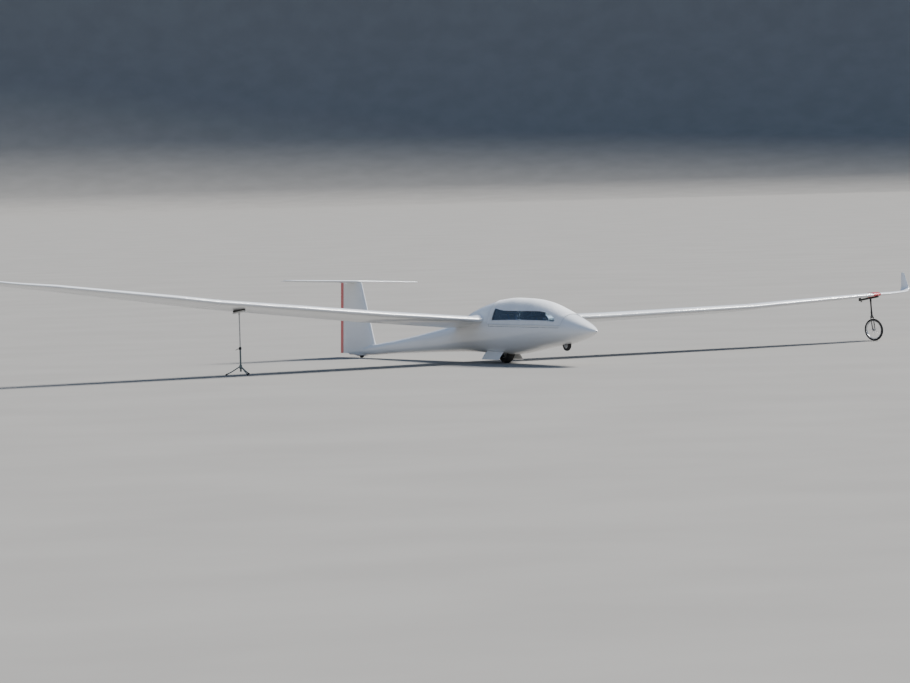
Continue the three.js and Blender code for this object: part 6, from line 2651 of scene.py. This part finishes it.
@dataclass
class Studio:
    """The camera at the photograph's viewpoint, the pale floor and the light."""

    shop: Workshop
    focal: float = 4600.0  # in pixels of the photograph
    picture_width: float = 910.0
    sensor: float = 36.0
    place: tuple[float, float, float] = (-45.491, -66.433, 1.409)
    yaw: float = 32.641
    pitch: float = -0.7138
    roll: float = 0.6062
    sweep: tuple[tuple[float, float], ...] = (
        (0.5, 0.0), (300.0, 0.0), (420.0, 0.0), (445.0, 2.0), (465.0, 8.0), (480.0, 20.0), (490.0, 40.0), (494.0, 90.0),
    )
    floor_drop: float = 0.0015  # below the soles and tyres
    floor_tones: tuple[Colour, Colour] = ((0.225, 0.218, 0.206), (0.244, 0.237, 0.224))
    sky: Colour = (0.40, 0.61, 1.0)
    sky_strength: float = 0.45

    def camera(self) -> None:
        """Sets up the camera, in the airframe's own frame."""
        yaw, pitch, roll = (math.radians(angle) for angle in (self.yaw, self.pitch, self.roll))
        ahead = Vector((math.sin(yaw) * math.cos(pitch), math.cos(yaw) * math.cos(pitch), math.sin(pitch)))
        right = Vector((math.cos(yaw), -math.sin(yaw), 0.0))
        up = right.cross(ahead)
        across = right * math.cos(roll) + up * math.sin(roll)
        over = up * math.cos(roll) - right * math.sin(roll)
        turn = Matrix((across, over, -ahead)).transposed().to_4x4()
        data = bpy.data.cameras.new("photograph")
        data.lens = self.focal / self.picture_width * self.sensor
        data.sensor_width = self.sensor
        data.clip_start, data.clip_end = 0.5, 2000.0
        made = bpy.data.objects.new("photograph", data)
        bpy.context.scene.collection.objects.link(made)
        made.matrix_world = self.shop.airframe @ Matrix.Translation(self.place) @ turn
        bpy.context.scene.camera = made

    def floor(self) -> None:
        """Lays the floor, which sweeps up into a backdrop far off."""
        bm = bmesh.new()
        skin(bm, [
            [Vector((radius * math.cos(turn), radius * math.sin(turn), height)) for turn in full_circle(96)]
            for radius, height in self.sweep
        ])
        rim = [edge for edge in bm.edges if edge.is_boundary and edge.calc_length() < 1.0]
        bmesh.ops.edgeloop_fill(bm, edges=rim)
        bmesh.ops.recalc_face_normals(bm, faces=bm.faces)
        if min(bm.faces, key=lambda face: face.calc_center_median().length).normal.z < 0:
            bmesh.ops.reverse_faces(bm, faces=bm.faces)
        mesh = bpy.data.meshes.new("floor")
        bm.to_mesh(mesh)
        bm.free()
        mesh.shade_smooth()
        surface = Surface("studio floor", roughness=0.9, specular_ior_level=0.2)
        surface.coloured(surface.noise(0.35, 4.0), *self.floor_tones, (0.35, 0.65))
        mesh.materials.append(surface.material)
        made = bpy.data.objects.new("floor", mesh)
        bpy.context.scene.collection.objects.link(made)
        made.location.z = -self.floor_drop

    def light(self) -> None:
        """Sets a soft high sun on the far side and a cool pale sky."""
        world = bpy.data.worlds.new("studio sky")
        world.use_nodes = True
        sky = world.node_tree.nodes["Background"]
        sky.inputs["Color"].default_value = (*self.sky, 1.0)
        sky.inputs["Strength"].default_value = self.sky_strength
        bpy.context.scene.world = world
        for name, energy, angle, colour, source in (
            ("sun", 10.0, 20.0, (1.0, 0.97, 0.92), Vector((0.92, 0.02, 0.95))),
            ("fill", 0.30, 60.0, (0.62, 0.78, 1.0), Vector((-0.8, -0.9, 0.6))),
        ):
            data = bpy.data.lights.new(name, "SUN")
            data.energy = energy
            data.angle = math.radians(angle)
            data.color = colour
            made = bpy.data.objects.new(name, data)
            made.rotation_euler = source.to_track_quat("Z", "Y").to_euler()
            bpy.context.scene.collection.objects.link(made)

    def build(self) -> None:
        """Builds the studio."""
        self.camera()
        self.floor()
        self.light()


MAIN_AXLE = Vector((0.0, 2.860, 0.190))  # its middle, in the airframe's own frame


def main() -> None:
    """Builds the sailplane, its camera and its light."""
    logging.basicConfig(level=logging.INFO, format="%(message)s")
    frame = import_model()
    shop = Workshop(frame, MAIN_AXLE)
    Studio(shop).build()
    Fuselage(shop).build()
    Canopy(shop).build()
    Tail(shop).build()
    for side in Side:
        Wing(shop, side).build()
    Undercarriage(shop).build()
    Cockpit(shop).build()
    WingStand(shop).build()
    WingWheel(shop).build()
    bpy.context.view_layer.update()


if __name__ == "__main__":
    main()
